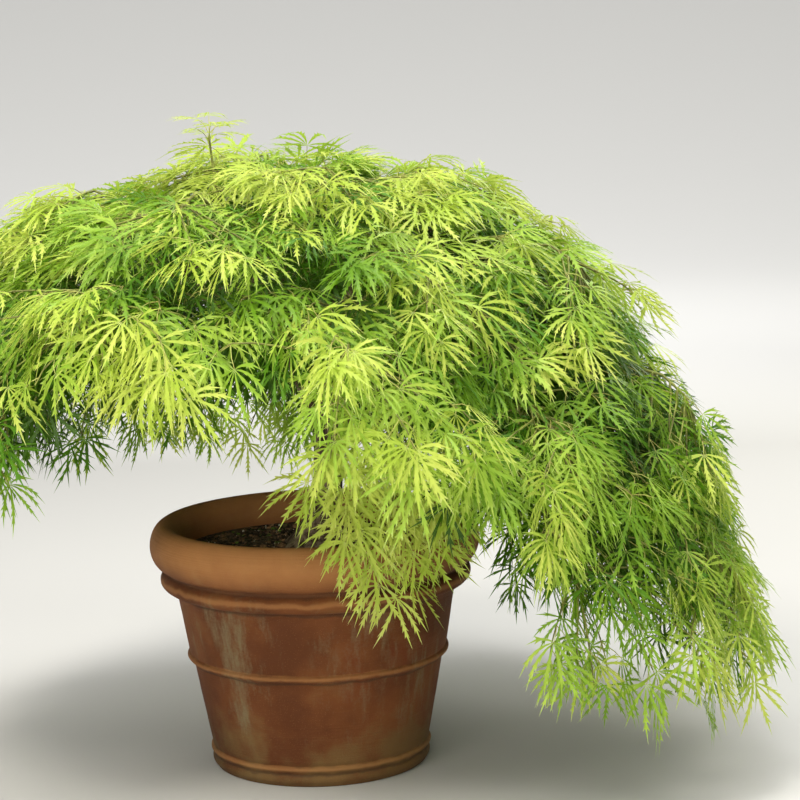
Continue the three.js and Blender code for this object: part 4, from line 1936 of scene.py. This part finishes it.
    def reach(
        self, mass: Mass, roots: Sequence[Vector], target: Vector, layer: Layer, random: Stream
    ) -> None:
        """Arches a twig from the nearest wood uphill to a target and hangs a spray on it.

        Args:
            mass: The mass.
            roots: Points of the wood that twigs may spring from.
            target: Where the twig ends.
            layer: The layer that it is in.
            random: The numbers that it varies by.
        """
        away = self.crown.under(target)[1]
        fall = self.crown.downhill(away)
        back, deeper = self.growth.uphill
        uphill = target - fall * back - away * deeper
        root = min(roots, key=lambda point: (point - uphill).length)
        side = (target - root).normalized()
        heading = (fall + side * self.growth.side_share).normalized()
        first = root.lerp(target, self.growth.handle) + away * random.between(0.0, self.growth.arch)
        second = target - heading * self.growth.landing
        line = geometry.interpolate_bezier(root, first, second, target, self.growth.twig_steps)
        self.wood(self.twigs, line, self.growth.twig_gauge)
        length = max(length_of(line), 1.0)
        share = max(1.0 - layer.pairs * self.growth.leaf_spacing / length, 0.0)
        steps = self.growth.spray_steps
        last = [along(line, lerp(share, 1.0, i / steps)) for i in range(steps + 1)]
        self.spray(mass, last, heading, random)

    def dress(self, mass: Mass, line: Sequence[Vector], heading: Vector, random: Stream) -> None:
        """Sets pairs of side twigs with their sprays along a hanging stem and a few at its end.

        Args:
            mass: The mass.
            line: Its stem.
            heading: The way that the stem ends.
            random: The numbers that the twigs vary by.
        """
        count = max(int(length_of(line) / self.growth.node_spacing), 2)
        for i in range(count):
            share = (i + 0.7) / count
            root = along(line, share)
            away = self.crown.under(root)[1]
            for hand in (-1, 1):
                play = random.between(-self.growth.side_turn, self.growth.side_turn)
                way = turned(heading, away, hand * (self.growth.side_spread + play))
                way = (way + away * random.between(*self.growth.side_play)).normalized()
                side = lerp(*self.growth.side_length, share) * random.between(*self.growth.length_play)
                twig, end = self.habit.twig(root, way, side, 3, 0.0, random, 0.0)
                self.wood(self.twigs, twig, self.growth.side_gauge)
                self.spray(mass, twig, end, random)
        for turn, reach in self.growth.end_twigs:
            way = turned(heading, FRONT, turn)
            twig, end = self.habit.twig(line[-1], way, reach, 4, 0.0, random, 0.0)
            self.wood(self.twigs, twig, self.growth.end_gauge)
            self.spray(mass, twig, end, random)

    def crest(self, mass: Mass, line: Sequence[Vector], random: Stream) -> None:
        """Sets crossed pairs of drooping leaves up an upright shoot.

        Args:
            mass: The mass.
            line: Its stem.
            random: The numbers that the leaves vary by.
        """
        tip = [line[-1], line[-1] + UP * self.growth.sprig_tip]
        self.wood(self.twigs, tip, self.growth.tip_gauge)
        start, twist, play = self.growth.crest_turns
        low, more = self.growth.crest_rise
        for i, root in enumerate([*(along(line, share) for share in self.growth.whorls), *tip]):
            colour = self.colour(mass, root, random)
            for quarter in range(4):
                turn = start + twist * i + 90.0 * quarter + random.between(-play, play)
                forward = turned(Vector((1.0, 0.0, low + more * i)), UP, turn).normalized()
                self.hang(mass, root, forward, UP, colour, random, self.growth.sprig_leaf)

    def spray(self, mass: Mass, line: Sequence[Vector], heading: Vector, random: Stream) -> None:
        """Sets pairs of leaves along a twig and one at its end, all of one colour.

        Args:
            mass: The mass.
            line: The twig.
            heading: The way that it ends.
            random: The numbers that the leaves vary by.
        """
        colour = self.colour(mass, line[-1], random)
        pairs = max(int(length_of(line) / self.growth.leaf_spacing + 0.5), 1)
        for i in range(pairs):
            root = along(line, (i + 0.6) / pairs)
            for hand in (-1, 1):
                turn = hand * random.between(*self.growth.leaf_turn)
                self.leaf(mass, root, heading, turn, colour, random)
        turn = random.between(-self.growth.end_turn, self.growth.end_turn)
        self.leaf(mass, line[-1], heading, turn, colour, random)

    def colour(self, mass: Mass, point: Vector, random: Stream) -> Spray:
        """The painted light and shade dealt as a colour to a spray that ends at a point."""
        under = self.crown.under(point)[0] if mass.pull else self.light.loose
        return self.light.colour(under, point, bool(mass.pull), random)

    def leaf(
        self, mass: Mass, root: Vector, heading: Vector, turn: float, spray: Spray, random: Stream
    ) -> None:
        """Points a leaf down the dome and to one side of its twig, and hangs it.

        Args:
            mass: The mass that it is in.
            root: The stalk's foot.
            heading: The twig's way.
            turn: The degrees between that and the leaf's way.
            spray: Its colour.
            random: The numbers that it varies by.
        """
        away = self.crown.under(root)[1]
        fall = self.crown.downhill(away)
        before, after = self.growth.fall_pull
        sideways = turned((heading + fall * before).normalized(), away, turn)
        forward = (sideways + fall * after).normalized()
        forward = (forward + away * random.between(*self.growth.forward_play)).normalized()
        tilt = random.between(-self.growth.tilt, self.growth.tilt)
        tilted = turned((away + UP * self.growth.face_up).normalized(), forward, tilt)
        self.hang(mass, root, forward, tilted, spray, random)

    def hang(
        self,
        mass: Mass,
        root: Vector,
        forward: Vector,
        tilted: Vector,
        spray: Spray,
        random: Stream,
        size: float = 1.0,
    ) -> None:
        """Adds a stalk and its leaf, if the leaf's heel keeps to its mass.

        Args:
            mass: The mass that it is in.
            root: The stalk's foot.
            forward: The way that the leaf points.
            tilted: The way that its upper face looks, roughly.
            spray: Its colour.
            random: The numbers that it varies by.
            size: The leaf's length as a share of the others'.
        """
        face = (tilted - forward * tilted.dot(forward)).normalized()
        stalk = (forward + face * random.between(*self.growth.stalk_rise)).normalized()
        centre = root + stalk * random.between(*self.growth.stalk)
        if not self.keeps(centre, mass, mass.border):
            return
        share, lift = self.growth.stalk_bend
        bend = root.lerp(centre, share) + face * lift
        self.wood(self.stalks, [root, bend, centre], self.growth.stalk_gauge)
        length = lerp(*self.growth.leaf_length, random.next()) * size
        droop = lerp(*self.growth.droop, random.next())
        inner = spray in (Spray.GREEN, Spray.DEEP)
        first, count = (self.shapes.kinds, self.shapes.plain_kinds) if inner else (0, self.shapes.kinds)
        kind = first + int(random.next() * count)
        self.leaves[spray].append(Leaf(centre, forward, face, length, droop, kind))

    def build(self) -> None:
        """Grows the masses and makes their pieces."""
        self.grow()
        solids = nodes_named("foliage_")
        bare = YoungWood("young_twig", "#8f9645", "#656632")
        belongs(self.twigs.piece("stems_and_twigs", bare.material(), True), solids)
        thin = YoungWood("leaf_stalk", "#bcc468", "#a09a4c")
        belongs(self.stalks.piece("leaf_stalks", thin.material(), True), solids)
        patterns = self.shapes.patterns()
        for spray, leaves in self.leaves.items():
            finish = spray.value
            material = finish.material()
            LOG.info("%s: %d leaves", finish.name, len(leaves))
            for i in range(0, len(leaves), self.growth.batch):
                name = f"{finish.name}_{i // self.growth.batch + 1}"
                piece = Batch(leaves[i : i + self.growth.batch]).piece(name, patterns, material)
                belongs(piece, solids)


# The studio


@dataclass(frozen=True)
class Lamp:
    """A soft square lamp that looks at a point, in metres."""

    name: str
    place: Point
    target: Point
    size: float
    power: float
    tint: str = "#ffffff"

    def build(self) -> None:
        """Hangs the lamp."""
        light = bpy.data.lights.new(self.name, "AREA")
        light.shape = "SQUARE"
        light.size = self.size
        light.energy = self.power
        light.color = shade(self.tint)[:3]
        holder = bpy.data.objects.new(self.name, light)
        holder.location = self.place
        aim = Vector(self.target) - Vector(self.place)
        holder.rotation_euler = aim.to_track_quat("-Z", "Y").to_euler()
        holder.visible_camera = False
        bpy.context.scene.collection.objects.link(holder)


@dataclass(frozen=True)
class Studio:
    """The pale floor, the soft lamps and the camera."""

    floor: str = "#c3c2bf"
    floor_patches: str = "#bebdb9"
    sky: str = "#f4f6f5"
    sky_strength: float = 0.2
    flat: float = 7.0
    curve: float = 9.0
    wall_turn: float = 70.0
    wall_steps: int = 20
    sides: int = 96
    lamps: tuple[Lamp, ...] = (
        Lamp("key_lamp", (-1.6, -2.2, 3.8), (0.0, 0.0, 0.55), 1.1, 124.0, "#fffaf0"),
        Lamp("top_lamp", (0.2, 0.0, 3.4), (0.0, 0.0, 0.4), 1.6, 62.0),
        Lamp("rear_lamp", (1.9, 2.8, 2.1), (0.0, 0.0, 0.5), 1.6, 45.0, "#fffdf2"),
        Lamp("front_lamp", (-0.5, -3.7, 1.3), (0.0, 0.0, 0.35), 1.4, 27.0, "#fffaf0"),
        Lamp("side_lamp", (2.3, -2.1, 2.9), (0.2, 0.0, 0.4), 1.4, 46.0, "#fffdf6"),
        Lamp("low_lamp", (-0.9, -1.7, 0.8), (0.05, 0.0, 0.36), 0.5, 8.0, "#fffaf0"),
        Lamp("wall_lamp", (0.0, 3.6, 5.0), (0.0, 13.0, 3.0), 5.0, 640.0),
        Lamp("sky_lamp", (0.0, 0.0, 6.4), (0.0, 0.001, 0.0), 20.0, 700.0),
    )
    eye: Point = (0.0, -3.5794, 1.0679)
    lens: float = 112.5
    sensor: float = 36.0
    farthest: float = 60.0
    pitch: float = 8.58
    yaw: float = 2.08
    roll: float = -1.64

    def build(self) -> None:
        """Sets up the floor, the light and the camera."""
        self.lay_floor()
        for lamp in self.lamps:
            lamp.build()
        world = bpy.data.worlds.new("soft_sky")
        world.use_nodes = True
        sky = world.node_tree.nodes["Background"]
        sky.inputs["Color"].default_value = shade(self.sky)
        sky.inputs["Strength"].default_value = self.sky_strength
        bpy.context.scene.world = world
        bpy.context.scene.view_settings.view_transform = "Standard"
        self.set_camera()

    def lay_floor(self) -> None:
        """Lays the round floor, which curves up far away into a wall."""
        line = [(0.0, 0.0, 0.0)]
        for i in range(self.wall_steps + 1):
            turn = math.radians(self.wall_turn * i / self.wall_steps)
            line.append((self.flat + self.curve * math.sin(turn), 0.0, self.curve * (1.0 - math.cos(turn))))
        bm = spun(line, self.sides, 10 * MERGE)
        sheet = Sheet("studio_floor")
        grain = sheet.cloud(sheet.place(), 2.0)
        colour = sheet.blend(grain * 0.12, shade(self.floor), shade(self.floor_patches))
        paint = sheet.node("ShaderNodeBsdfPrincipled", None, {"Base Color": colour, "Roughness": 0.9})
        piece = made_of(bm, "studio_floor", sheet.finish(paint))
        piece.data.flip_normals()

    def set_camera(self) -> None:
        """Stands the camera where the photograph was taken from."""
        data = bpy.data.cameras.new("camera")
        data.lens = self.lens
        data.sensor_width = self.sensor
        data.clip_end = self.farthest
        camera = bpy.data.objects.new("camera", data)
        camera.location = self.eye
        pitch, yaw = math.radians(self.pitch), math.radians(self.yaw)
        flat = math.cos(pitch)
        forward = Vector((math.sin(yaw) * flat, math.cos(yaw) * flat, -math.sin(pitch)))
        level = forward.to_track_quat("-Z", "Y")
        camera.rotation_euler = (level @ Quaternion(UP, math.radians(self.roll))).to_euler()
        bpy.context.scene.collection.objects.link(camera)
        bpy.context.scene.camera = camera


def main() -> None:
    """Builds the pot, the soil, the wood, the foliage and the studio."""
    logging.basicConfig(level=logging.INFO, format="%(name)s: %(message)s")
    Studio().build()
    belongs(Pot().build(), ["pot"])
    Soil().build()
    habit = Habit()
    masses = habit.masses()
    limbs = habit.limbs(masses)
    Wood().build(limbs)
    Foliage(habit, masses, limbs, Growth()).build()


if __name__ == "__main__":
    main()
